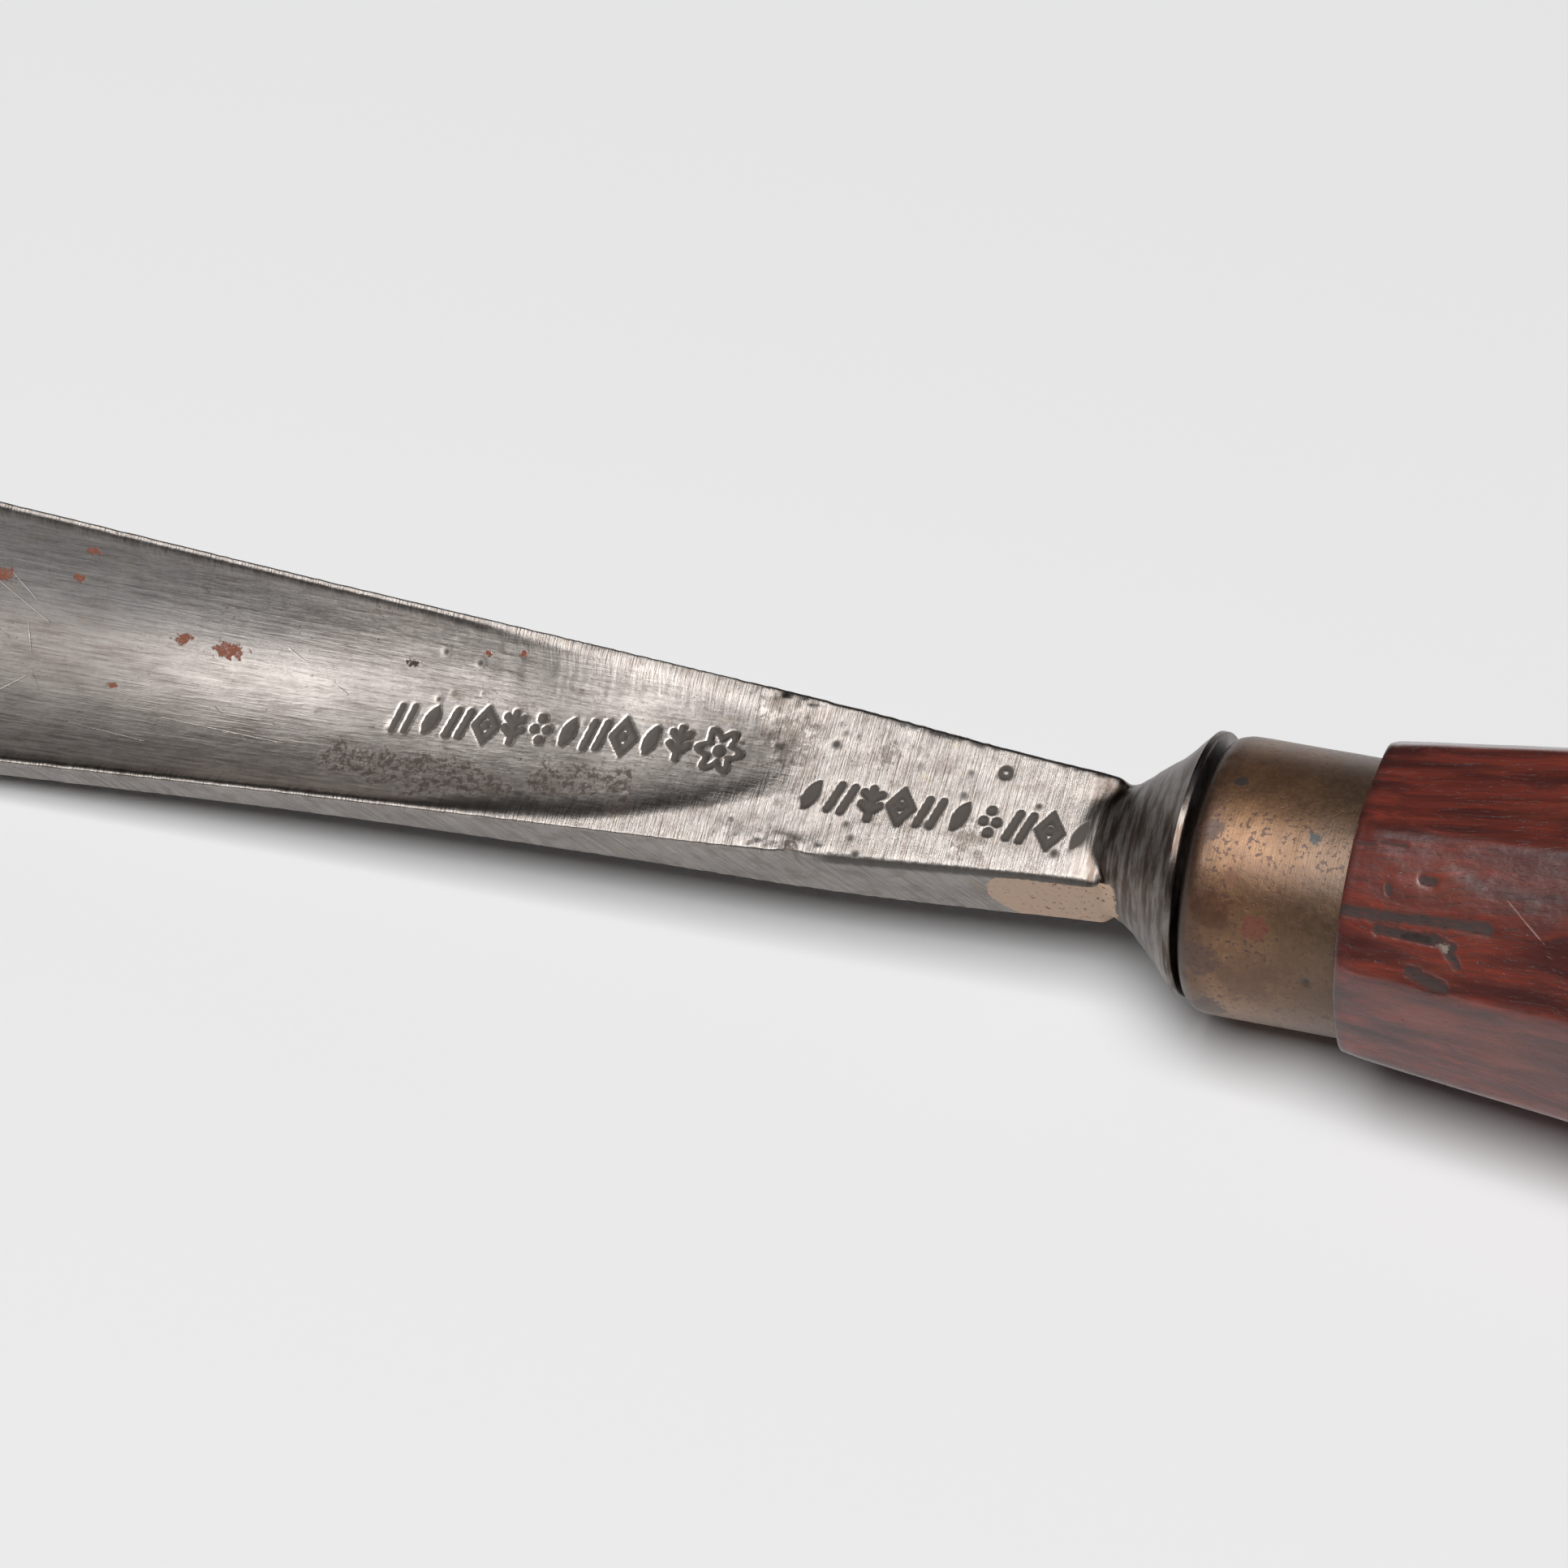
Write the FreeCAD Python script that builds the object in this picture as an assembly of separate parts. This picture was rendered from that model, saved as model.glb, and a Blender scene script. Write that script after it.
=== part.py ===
"""Woodcarver's gouge: forged steel blade, brass ferrule, octagonal hardwood handle.

Millimetres. The tool is drawn along +X in its own frame: the tool axis is the X axis,
x = 0 is the front face of the ferrule, the cutting edge is at negative x, the butt of the
handle at positive x, and the hollow of the blade opens towards +Z. At the end the three
pieces are laid down together on the plane z = 0, the way the tool rests on a bench.
"""
import FreeCAD, Part
import math
import os

from FreeCAD import Vector

# ---- blade: a hollow (trough) in front, a flat shank behind it -------------------------
EDGE_X = -106.0            # cutting edge
BEVEL_X = -94.0            # where the outside bevel of the cutting edge starts
SHANK_END_X = -6.0         # the flat shank ends inside the bolster's neck
RIM_Z = 3.3                # height of the two rims and of the flat shank top
EDGE_HALF_WIDTH = 10.4
FRONT_TAPER = 0.064        # growth of the half width per mm towards the edge
FLANK_LEAN = 0.10          # the flanks lean outwards: mm of width per mm of drop

# stations from the bevel to the bolster: x, half width at the rim, flank height, back z
BLADE_STATIONS = [
    (BEVEL_X, 9.6, 1.6, -1.9),
    (-86.0, 9.1, 1.7, -2.0),
    (-57.0, 7.15, 2.3, -2.6),
    (-36.0, 5.85, 3.6, -3.1),
    (-24.0, 5.1, 4.7, -3.4),
    (-12.0, 4.0, 5.5, -3.6),
    (SHANK_END_X, 3.6, 5.4, -3.5),
]

TROUGH_LAND = 0.45         # width of each rim beside the hollow
TROUGH_DEPTH_EDGE = 3.2
EDGE_THICKNESS = 0.3       # steel left at the cutting edge
BOWL_START_X = -42.0       # the hollow keeps the blade's width up to here
BOWL_END_X = -26.5         # and closes in a round bowl here
# stations of the hollow: x, depth; the first one lies beyond the edge, where it runs out
TROUGH_STATIONS = [
    (EDGE_X - 5.0, TROUGH_DEPTH_EDGE),
    (EDGE_X + 6.0, TROUGH_DEPTH_EDGE),
    (-86.0, 3.0),
    (-60.0, 2.5),
    (BOWL_START_X, 2.0),
]
BOWL_STEPS = (0.35, 0.62, 0.82, 0.94, 0.99)   # shares of the bowl's length

# ---- bolster and tang, forged in one with the blade -----------------------------------
BOLSTER_RADIUS = 8.25
BOLSTER_RIM = 0.45         # thickness of the disc's rim
BOLSTER_BACK_X = -0.4      # back face of the disc on the tool axis
FLARE_LENGTH = 7.2         # axial length of the trumpet-shaped neck
NECK_RADIUS = 2.9
FLARE_WAIST = (3.1, 5.25)  # distance in front of the rim, and radius there
FORGING_SHIFT_Y = 0.4      # the tang sits this far off the ferrule's axis
FORGING_TURN_DEG = 0.17    # and the blade points this far out of line
TANG_FRONT = 5.6           # side of the square tang at the bolster
TANG_TIP = 2.4
TANG_LENGTH = 48.0

# ---- ferrule --------------------------------------------------------------------------
FERRULE_RADIUS = 8.65
FERRULE_LENGTH = 10.3
FERRULE_WALL = 0.9
FERRULE_ROUND = 1.2        # radius of the rounded front edge
FERRULE_LIP_RADIUS = 7.2   # opening left by the lip turned in at the front

# ---- handle ---------------------------------------------------------------------------
FIT_GAP = 0.05             # glue line round the tang and inside the ferrule
SPIGOT_FRONT_X = FERRULE_WALL + FIT_GAP
HANDLE_FRONT_X = FERRULE_LENGTH + FIT_GAP
HANDLE_END_X = 118.0
WIDE_FACET_DEG = 49.0      # angle that a wide facet takes up; narrow ones take the rest
# stations of the handle: x, distance from the axis to a corner
HANDLE_STATIONS = [
    (HANDLE_FRONT_X, 10.55),
    (16.0, 11.3),
    (23.0, 12.2),
    (35.0, 13.8),
    (50.0, 14.8),
    (75.0, 14.6),
    (100.0, 13.4),
    (HANDLE_END_X, 12.2),
]
GRIP_SHIFT_Y = 0.3         # the grip stands this far off the ferrule's axis
GRIP_TURN_DEG = 0.7        # and points this far out of line
GRIP_TRIM = 0.15           # trimmed off its front so that it meets the ferrule squarely
SHOULDER_ROUND = 0.8       # rounding of the handle's front shoulder
BUTT_FLAT_RADIUS = 7.0     # flat left in the middle of the butt
BUTT_ROUND_LENGTH = 4.5
# one narrow facet is turned this far from the direction that the hollow opens to
FACET_TURN_DEG = 23.0

# ---- how the tool lies ----------------------------------------------------------------
LIE_SLOPE_DEG = 4.37        # the axis climbs towards the handle


def wire(edges):
    return Part.Wire(edges)


def line(a, b):
    return Part.LineSegment(a, b).toShape()


def arc(a, b, c):
    return Part.Arc(a, b, c).toShape()


def blade_section(x, half_width, flank, back_z):
    """Closed cross-section of the blade blank: flat top, two flanks and a rounded back."""
    low = half_width + FLANK_LEAN * flank
    rim_left = Vector(x, -half_width, RIM_Z)
    rim_right = Vector(x, half_width, RIM_Z)
    low_left = Vector(x, -low, RIM_Z - flank)
    low_right = Vector(x, low, RIM_Z - flank)
    back = Vector(x, 0, back_z)
    return wire([
        line(rim_left, rim_right),
        line(rim_right, low_right),
        arc(low_right, back, low_left),
        line(low_left, rim_left),
    ])


def trough_section(x, half_width, depth):
    """Closed cross-section of the hollow: an arc below the rims and a lid above them."""
    lid = 1.0
    left = Vector(x, -half_width, RIM_Z)
    right = Vector(x, half_width, RIM_Z)
    floor = Vector(x, 0, RIM_Z - depth)
    lid_left = left + Vector(0, 0, lid)
    lid_right = right + Vector(0, 0, lid)
    return wire([
        arc(left, floor, right),
        line(right, lid_right),
        line(lid_right, lid_left),
        line(lid_left, left),
    ])


def blade_half_width(x):
    """Half width at the rim, read off the straight taper between two stations."""
    points = [(EDGE_X, EDGE_HALF_WIDTH)] + [(s[0], s[1]) for s in BLADE_STATIONS]
    if x < EDGE_X:
        return EDGE_HALF_WIDTH + FRONT_TAPER * (EDGE_X - x)
    for (x0, w0), (x1, w1) in zip(points, points[1:]):
        if x <= x1:
            return w0 + (w1 - w0) * (x - x0) / (x1 - x0)
    return points[-1][1]


def blade_blank():
    """The forged bar with its outside bevel, before the hollow is cut."""
    body = Part.makeLoft([blade_section(*s) for s in BLADE_STATIONS], True, False)
    edge_back = RIM_Z - TROUGH_DEPTH_EDGE - EDGE_THICKNESS
    edge = blade_section(EDGE_X, EDGE_HALF_WIDTH, EDGE_THICKNESS, edge_back)
    start = blade_section(*BLADE_STATIONS[0])
    bevel = Part.makeLoft([edge, start], True, True)
    return body.fuse(bevel)


def trough_cutter():
    """The hollow: as wide as the blade in front, ending in a shallow round bowl."""
    sections = []
    for x, depth in TROUGH_STATIONS:
        sections.append(trough_section(x, blade_half_width(x) - TROUGH_LAND, depth))
    front_x, front_depth = TROUGH_STATIONS[-1]
    for share in BOWL_STEPS:
        x = front_x + share * (BOWL_END_X - front_x)
        shrink = math.sqrt(1.0 - share ** 2)
        half_width = (blade_half_width(x) - TROUGH_LAND) * shrink
        sections.append(trough_section(x, half_width, front_depth * shrink ** 1.5))
    return Part.makeLoft(sections, True, True)


def revolved(edges):
    """Solid of revolution about the tool axis from a closed outline in the XZ plane."""
    face = Part.Face(wire(edges))
    return face.revolve(Vector(0, 0, 0), Vector(1, 0, 0), 360)


def bolster():
    """Trumpet-shaped neck that ends in a thin disc."""
    front_x = BOLSTER_BACK_X - BOLSTER_RIM
    neck_x = front_x - FLARE_LENGTH
    neck = Vector(neck_x, 0, NECK_RADIUS)
    waist = Vector(front_x - FLARE_WAIST[0], 0, FLARE_WAIST[1])
    rim_front = Vector(front_x, 0, BOLSTER_RADIUS)
    rim_back = Vector(BOLSTER_BACK_X, 0, BOLSTER_RADIUS)
    back = Vector(BOLSTER_BACK_X, 0, 0)
    start = Vector(neck_x, 0, 0)
    return revolved([
        line(start, neck),
        arc(neck, waist, rim_front),
        line(rim_front, rim_back),
        line(rim_back, back),
        line(back, start),
    ])


def square_section(x, side):
    h = side / 2.0
    corners = [Vector(x, -h, -h), Vector(x, h, -h), Vector(x, h, h), Vector(x, -h, h)]
    return Part.makePolygon(corners + corners[:1])


def tang(gap=0.0):
    """Square tang that tapers into the handle. A gap makes the hole that receives it."""
    front = square_section(BOLSTER_BACK_X - 1.0, TANG_FRONT + 2 * gap)
    tip = square_section(TANG_LENGTH + gap, TANG_TIP + 2 * gap)
    return Part.makeLoft([front, tip], True, True)


def set_forging(shape):
    """Move the forging, or the hole for it, to where it was driven into the handle."""
    shape.rotate(Vector(0, 0, 0), Vector(0, 0, 1), FORGING_TURN_DEG)
    shape.translate(Vector(0, FORGING_SHIFT_Y, 0))
    return shape


def blade():
    """Blade, shank, bolster and tang, which are one forging."""
    solid = blade_blank().cut(trough_cutter())
    return set_forging(solid.fuse(bolster()).fuse(tang()).removeSplitter())


def ferrule():
    """Tube with a rounded front edge and a lip that holds the wood in."""
    inner = FERRULE_RADIUS - FERRULE_WALL
    bend = FERRULE_ROUND * (1.0 - math.sqrt(0.5))
    return revolved([
        line(Vector(0, 0, FERRULE_LIP_RADIUS), Vector(0, 0, FERRULE_RADIUS - FERRULE_ROUND)),
        arc(
            Vector(0, 0, FERRULE_RADIUS - FERRULE_ROUND),
            Vector(bend, 0, FERRULE_RADIUS - bend),
            Vector(FERRULE_ROUND, 0, FERRULE_RADIUS),
        ),
        line(Vector(FERRULE_ROUND, 0, FERRULE_RADIUS), Vector(FERRULE_LENGTH, 0, FERRULE_RADIUS)),
        line(Vector(FERRULE_LENGTH, 0, FERRULE_RADIUS), Vector(FERRULE_LENGTH, 0, inner)),
        line(Vector(FERRULE_LENGTH, 0, inner), Vector(FERRULE_WALL, 0, inner)),
        line(Vector(FERRULE_WALL, 0, inner), Vector(FERRULE_WALL, 0, FERRULE_LIP_RADIUS)),
        line(Vector(FERRULE_WALL, 0, FERRULE_LIP_RADIUS), Vector(0, 0, FERRULE_LIP_RADIUS)),
    ])


def octagon(x, corner_radius):
    """Cross-section of the handle: a square with its four corners planed off.

    Wide and narrow facets take turns, and a narrow one faces FACET_TURN_DEG off the hollow.
    """
    half_narrow = (90.0 - WIDE_FACET_DEG) / 2.0
    corners = []
    for k in range(4):
        middle = 90.0 - FACET_TURN_DEG + 90.0 * k
        for angle in (middle - half_narrow, middle + half_narrow):
            a = math.radians(angle)
            corners.append(Vector(x, corner_radius * math.cos(a), corner_radius * math.sin(a)))
    return Part.makePolygon(corners + corners[:1])


def handle_envelope():
    """Turned envelope that rounds the front shoulder and the butt of the handle."""
    clear = 20.0
    bend = SHOULDER_ROUND * (1.0 - math.sqrt(0.5))
    low = HANDLE_STATIONS[0][1] - SHOULDER_ROUND
    top = low + SHOULDER_ROUND
    butt = HANDLE_STATIONS[-1][1] + 0.4
    butt_x = HANDLE_END_X - BUTT_ROUND_LENGTH
    half = math.sqrt(0.5)
    return revolved([
        line(Vector(HANDLE_FRONT_X, 0, 0), Vector(HANDLE_FRONT_X, 0, low)),
        arc(
            Vector(HANDLE_FRONT_X, 0, low),
            Vector(HANDLE_FRONT_X + bend, 0, top - bend),
            Vector(HANDLE_FRONT_X + SHOULDER_ROUND, 0, top),
        ),
        line(Vector(HANDLE_FRONT_X + SHOULDER_ROUND, 0, top), Vector(20.0, 0, clear)),
        line(Vector(20.0, 0, clear), Vector(butt_x - 8.0, 0, clear)),
        line(Vector(butt_x - 8.0, 0, clear), Vector(butt_x, 0, butt)),
        arc(
            Vector(butt_x, 0, butt),
            Vector(
                butt_x + BUTT_ROUND_LENGTH * half,
                0,
                BUTT_FLAT_RADIUS + (butt - BUTT_FLAT_RADIUS) * half,
            ),
            Vector(HANDLE_END_X, 0, BUTT_FLAT_RADIUS),
        ),
        line(Vector(HANDLE_END_X, 0, BUTT_FLAT_RADIUS), Vector(HANDLE_END_X, 0, 0)),
        line(Vector(HANDLE_END_X, 0, 0), Vector(HANDLE_FRONT_X, 0, 0)),
    ])


def handle():
    grip = Part.makeLoft([octagon(*s) for s in HANDLE_STATIONS], True, False)
    grip = grip.common(handle_envelope())
    grip.rotate(Vector(HANDLE_FRONT_X, 0, 0), Vector(0, 0, 1), GRIP_TURN_DEG)
    grip.translate(Vector(-GRIP_TRIM, GRIP_SHIFT_Y, 0))
    side = 4.0 * HANDLE_STATIONS[0][1]
    grip = grip.cut(Part.makeBox(side, side, side, Vector(HANDLE_FRONT_X - side, -side / 2, -side / 2)))
    spigot = Part.makeCylinder(
        FERRULE_RADIUS - FERRULE_WALL - FIT_GAP,
        HANDLE_FRONT_X + 1.0 - SPIGOT_FRONT_X,
        Vector(SPIGOT_FRONT_X, 0, 0),
        Vector(1, 0, 0),
    )
    return grip.fuse(spigot).cut(set_forging(tang(FIT_GAP))).removeSplitter()


def lay_down(pieces):
    """Turn the tool onto a narrow facet of its handle, and rest it on the plane z = 0.

    The origin ends up below the middle of the tool's box.
    """
    origin = Vector(0, 0, 0)
    for piece in pieces:
        piece.rotate(origin, Vector(1, 0, 0), FACET_TURN_DEG)
        piece.rotate(origin, Vector(0, 1, 0), -LIE_SLOPE_DEG)
    box = Part.makeCompound(pieces).optimalBoundingBox()
    for piece in pieces:
        piece.translate(Vector(-box.Center.x, -box.Center.y, -box.ZMin))


def main():
    names = ["gouge_blade", "ferrule", "handle"]
    pieces = [blade(), ferrule(), handle()]
    lay_down(pieces)
    os.makedirs("parts", exist_ok=True)
    for name, piece in zip(names, pieces):
        piece.exportStep("parts/" + name + ".step")
        print(name, "valid", piece.isValid(), "solids", len(piece.Solids), round(piece.Volume, 1))


main()
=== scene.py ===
import functools
import math

import bmesh
import bpy
import numpy as np
from mathutils import Matrix, Vector


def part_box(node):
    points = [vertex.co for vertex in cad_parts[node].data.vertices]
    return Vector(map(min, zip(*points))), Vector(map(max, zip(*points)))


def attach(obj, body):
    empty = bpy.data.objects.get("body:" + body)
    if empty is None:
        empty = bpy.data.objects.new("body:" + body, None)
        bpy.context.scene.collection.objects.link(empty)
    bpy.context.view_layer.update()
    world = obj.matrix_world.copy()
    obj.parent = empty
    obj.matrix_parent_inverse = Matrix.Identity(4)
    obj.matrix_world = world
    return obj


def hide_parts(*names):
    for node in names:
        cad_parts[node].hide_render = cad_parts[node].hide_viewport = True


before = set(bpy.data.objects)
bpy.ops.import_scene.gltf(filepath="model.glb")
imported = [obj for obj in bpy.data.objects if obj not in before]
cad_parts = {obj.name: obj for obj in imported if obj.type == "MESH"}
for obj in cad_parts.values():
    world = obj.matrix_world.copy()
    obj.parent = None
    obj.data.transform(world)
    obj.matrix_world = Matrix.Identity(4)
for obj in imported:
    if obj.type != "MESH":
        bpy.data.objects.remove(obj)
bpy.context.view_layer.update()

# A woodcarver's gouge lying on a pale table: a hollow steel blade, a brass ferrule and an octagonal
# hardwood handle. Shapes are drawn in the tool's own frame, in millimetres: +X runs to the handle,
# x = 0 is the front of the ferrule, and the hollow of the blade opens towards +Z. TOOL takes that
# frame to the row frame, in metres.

MM = 0.001

# ---- the tool's frame

FERRULE_RADIUS = 8.65
FERRULE_LENGTH = 10.3
FACET_TURN = math.radians(23)  # the handle lies on a narrow facet
LIE_SLOPE = math.radians(4.37)  # and its axis climbs towards the butt


def tool_matrix():
    """Tool frame (mm) to row frame (m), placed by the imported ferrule."""
    low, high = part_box("ferrule")
    along = FERRULE_LENGTH * MM
    radius = FERRULE_RADIUS * MM
    origin = Vector((
        high.x - along * math.cos(LIE_SLOPE) - radius * math.sin(LIE_SLOPE),
        (low.y + high.y) / 2,
        high.z - along * math.sin(LIE_SLOPE) - radius * math.cos(LIE_SLOPE),
    ))
    turn = Matrix.Rotation(-LIE_SLOPE, 4, "Y") @ Matrix.Rotation(FACET_TURN, 4, "X")
    return Matrix.Translation(origin) @ turn @ Matrix.Scale(MM, 4)


TOOL = tool_matrix()
TOOL_ARRAY = np.array(TOOL)


# ---- numbers and noise

def smooth_curve(x, points):
    """Cubic curve through (x, value) points that doesn't overshoot them."""
    px = np.array([p[0] for p in points], float)
    py = np.array([p[1] for p in points], float)
    secant = np.diff(py) / np.diff(px)
    slope = np.zeros(len(px))
    slope[0] = secant[0]
    slope[-1] = secant[-1]
    for i in range(1, len(px) - 1):
        if secant[i - 1] * secant[i] > 0:
            slope[i] = 2 * secant[i - 1] * secant[i] / (secant[i - 1] + secant[i])
    x = np.clip(x, px[0], px[-1])
    k = np.clip(np.searchsorted(px, x, side="right") - 1, 0, len(px) - 2)
    h = px[k + 1] - px[k]
    t = (x - px[k]) / h
    return (
        py[k] * (1 + 2 * t) * (1 - t) ** 2
        + slope[k] * h * t * (1 - t) ** 2
        + py[k + 1] * t * t * (3 - 2 * t)
        + slope[k + 1] * h * t * t * (t - 1)
    )


def step(value, low, high):
    """Smooth step from 0 at low to 1 at high."""
    t = np.clip((value - low) / (high - low), 0, 1)
    return t * t * (3 - 2 * t)


def hump(value, centre, width):
    """Bell curve, 1 at the centre."""
    return np.exp(-((value - centre) / width) ** 2)


GRAIN_KNOTS = 256  # the pattern repeats after this many


def grain(u, v, seed):
    """Smooth random values between -1 and 1, one knot per unit of u and v."""
    knots = np.random.default_rng(seed).uniform(-1, 1, (GRAIN_KNOTS, GRAIN_KNOTS))
    iu = np.floor(u).astype(int)
    iv = np.floor(v).astype(int)
    fu = u - iu
    fv = v - iv
    fu = fu * fu * (3 - 2 * fu)
    fv = fv * fv * (3 - 2 * fv)
    u0, u1 = iu % GRAIN_KNOTS, (iu + 1) % GRAIN_KNOTS
    v0, v1 = iv % GRAIN_KNOTS, (iv + 1) % GRAIN_KNOTS
    a = knots[u0, v0]
    b = knots[u1, v0]
    c = knots[u0, v1]
    d = knots[u1, v1]
    return (a * (1 - fu) + b * fu) * (1 - fv) + (c * (1 - fu) + d * fu) * fv


def soft_max(a, b, width):
    """The larger of a and b, rounded over where they meet."""
    return (a + b + np.sqrt((a - b) ** 2 + width ** 2)) / 2


# ---- meshes

def add_object(name, data):
    """New object in the scene."""
    made = bpy.data.objects.new(name, data)
    bpy.context.scene.collection.objects.link(made)
    return made


def ring_object(name, rings, sharp_deg, masks, closed=False):
    """Closed mesh from rings of points in the tool frame, shape (rings, points, 3).

    The ends get one face each, or join each other when closed. masks are values per point.
    """
    count, around = rings.shape[:2]
    flat = rings.reshape(-1, 3)
    verts = flat @ TOOL_ARRAY[:3, :3].T + TOOL_ARRAY[:3, 3]
    index = np.arange(count * around).reshape(count, around)
    here = index if closed else index[:-1]
    after = np.roll(index, -1, axis=0) if closed else index[1:]
    quads = np.stack([here, np.roll(here, -1, 1), np.roll(after, -1, 1), after], axis=-1)
    faces = quads.reshape(-1, 4).tolist()
    if not closed:
        faces += [index[0][::-1].tolist(), index[-1].tolist()]
    mesh = bpy.data.meshes.new(name)
    mesh.from_pydata(verts.tolist(), [], faces)
    for mask, values in masks.items():
        layer = mesh.attributes.new(mask, "FLOAT", "POINT")
        layer.data.foreach_set("value", np.ascontiguousarray(values, np.float32).ravel())
    work = bmesh.new()
    work.from_mesh(mesh)
    bmesh.ops.recalc_face_normals(work, faces=work.faces)
    work.to_mesh(mesh)
    work.free()
    mesh.shade_smooth()
    mesh.set_sharp_from_angle(angle=math.radians(sharp_deg))
    return add_object(name, mesh)


# ---- blade, shank, bolster and tang: one forging

RIM_Z = 3.3
EDGE_X = -106
# along the forging: x, half width, height of the flanks, lowest point of the back
SECTIONS = [
    (-106, 10.4, 0.3, -0.2), (-94, 9.6, 1.6, -1.77), (-86, 9.1, 1.7, -1.87),
    (-57, 7.15, 2.3, -2.55), (-36, 5.85, 3.6, -3.1), (-24, 5.1, 4.7, -3.4), (-12, 4, 5.5, -3.6),
    (-6, 3.6, 5.4, -3.5),
]
HALF_WIDTH, FLANK_HEIGHT, BACK_Z = ([(row[0], row[i]) for row in SECTIONS] for i in (1, 2, 3))
HOLLOW_DEPTH = [
    (-106, 3.2), (-100, 3.2), (-86, 3), (-60, 2.4), (-47, 1.6), (-38, 0.86), (-32, 0.62),
    (-25, 0.5),
]
FLANK_LEAN = 0.10
LAND = 0.34  # rim left on each side of the hollow
BOWL_START_X = -42  # the hollow runs out in a bowl between these two
BOWL_END_X = -25
BOWL_SKEW = 0.9  # how far the bowl's end leans to the far side
BOWL_NARROWING = 0.24  # and how much its near side draws in
NOTCH_X = -25.6  # small notch in the near edge
NOTCH_CUT = 0.55
FINE_FROM_X = -54  # the sections are closest from here to the neck
SHANK_END_X = -6.6
NECK_X = -8.05  # where the trumpet of the bolster starts
NECK_RADIUS = 2.9
TRUMPET_SLOPE = 0.573
TRUMPET_CURVE = 0.0548
TRUMPET_SPAN = 4.1
DISC_FRONT_X = -0.85
DISC_BACK_X = -0.4
DISC_RADIUS = 8.25
TANG_HALF = 2.8
TANG_TIP_HALF = 1.2
TANG_END_X = 48
FORGING_SHIFT_Y = 0.4
FORGING_TURN = math.radians(0.17)

TOP_POINTS = 104  # points across the top, without its rounded corners
CORNER_POINTS = 5
FLANK_POINTS = 15
BACK_POINTS = 30

PUNCH_STROKE = 0.2  # half width of a punched stroke
PUNCH_DEPTH = 0.10
PIT_COUNT = 46
RING_MARK = (-13.5, 2.5)  # a small round dent on the shank


def segment_distance(u, v, a, b):
    """Distance from (u, v) to the segment from a to b."""
    du, dv = b[0] - a[0], b[1] - a[1]
    t = np.clip(((u - a[0]) * du + (v - a[1]) * dv) / (du * du + dv * dv), 0, 1)
    return np.hypot(u - a[0] - t * du, v - a[1] - t * dv)


def lozenge(u, v, half_u, half_v):
    """Distance from the outline of a lozenge."""
    reach = half_u * half_v / math.hypot(half_u, half_v)
    return np.abs(np.abs(u) / half_u + np.abs(v) / half_v - 1) * reach


def leaf(u, v, half_u, half_v):
    """Distance outside an upright solid leaf, two arcs that meet in points."""
    radius = (half_u ** 2 + half_v ** 2) / (2 * half_u)
    return np.hypot(np.abs(u) + radius - half_u, v) - radius + PUNCH_STROKE


def punch_distance(kind, u, v):
    """Distance from the strokes of one ornamental punch, about 1.5 mm wide and 2.2 mm high."""
    if kind == "bars":
        return np.minimum(
            segment_distance(u, v, (-0.70, -0.85), (-0.16, 0.85)),
            segment_distance(u, v, (0.16, -0.85), (0.70, 0.85)),
        )
    if kind == "lozenge":
        return np.minimum(lozenge(u, v, 0.72, 1), np.hypot(u, v) - 0.06)
    if kind == "leaf":
        return leaf(u * 0.94 - v * 0.34, v * 0.94 + u * 0.34, 0.42, 1.05)
    if kind == "dots":
        return np.minimum(np.hypot(u, np.abs(v) - 0.72), np.hypot(np.abs(u) - 0.42, v)) - 0.08
    if kind == "sprig":
        stem = segment_distance(u, v, (0, -1), (0, 1))
        side = np.abs(u)
        low = segment_distance(side, v, (0, -0.55), (0.6, -0.05))
        high = segment_distance(side, v, (0, 0.2), (0.55, 0.7))
        return np.minimum(stem, np.minimum(low, high))
    angle = np.arctan2(v, u)
    petals = 1 + 0.26 * np.cos(6 * angle)
    return np.minimum(np.abs(np.hypot(u, v) - petals), np.hypot(u, v) - 0.12)


# rows of punches: start, end, kinds in order, size, and how worn the first and last ones are
PUNCH_ROWS = [
    (
        (-53.2, -0.2), (-34.6, 0.9),
        [
            "bars", "leaf", "bars", "lozenge", "sprig", "dots",
            "leaf", "bars", "lozenge", "leaf", "sprig",
        ],
        1, (0.45, 1),
    ),
    ((-31.9, 0.75), (-31.8, 0.75), ["rosette"], 1.12, (1, 1)),
    (
        (-25.2, -1), (-7.9, -0.75),
        ["leaf", "bars", "sprig", "lozenge", "bars", "leaf", "dots", "bars", "lozenge", "leaf"],
        1, (1, 0.3),
    ),
]


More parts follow.
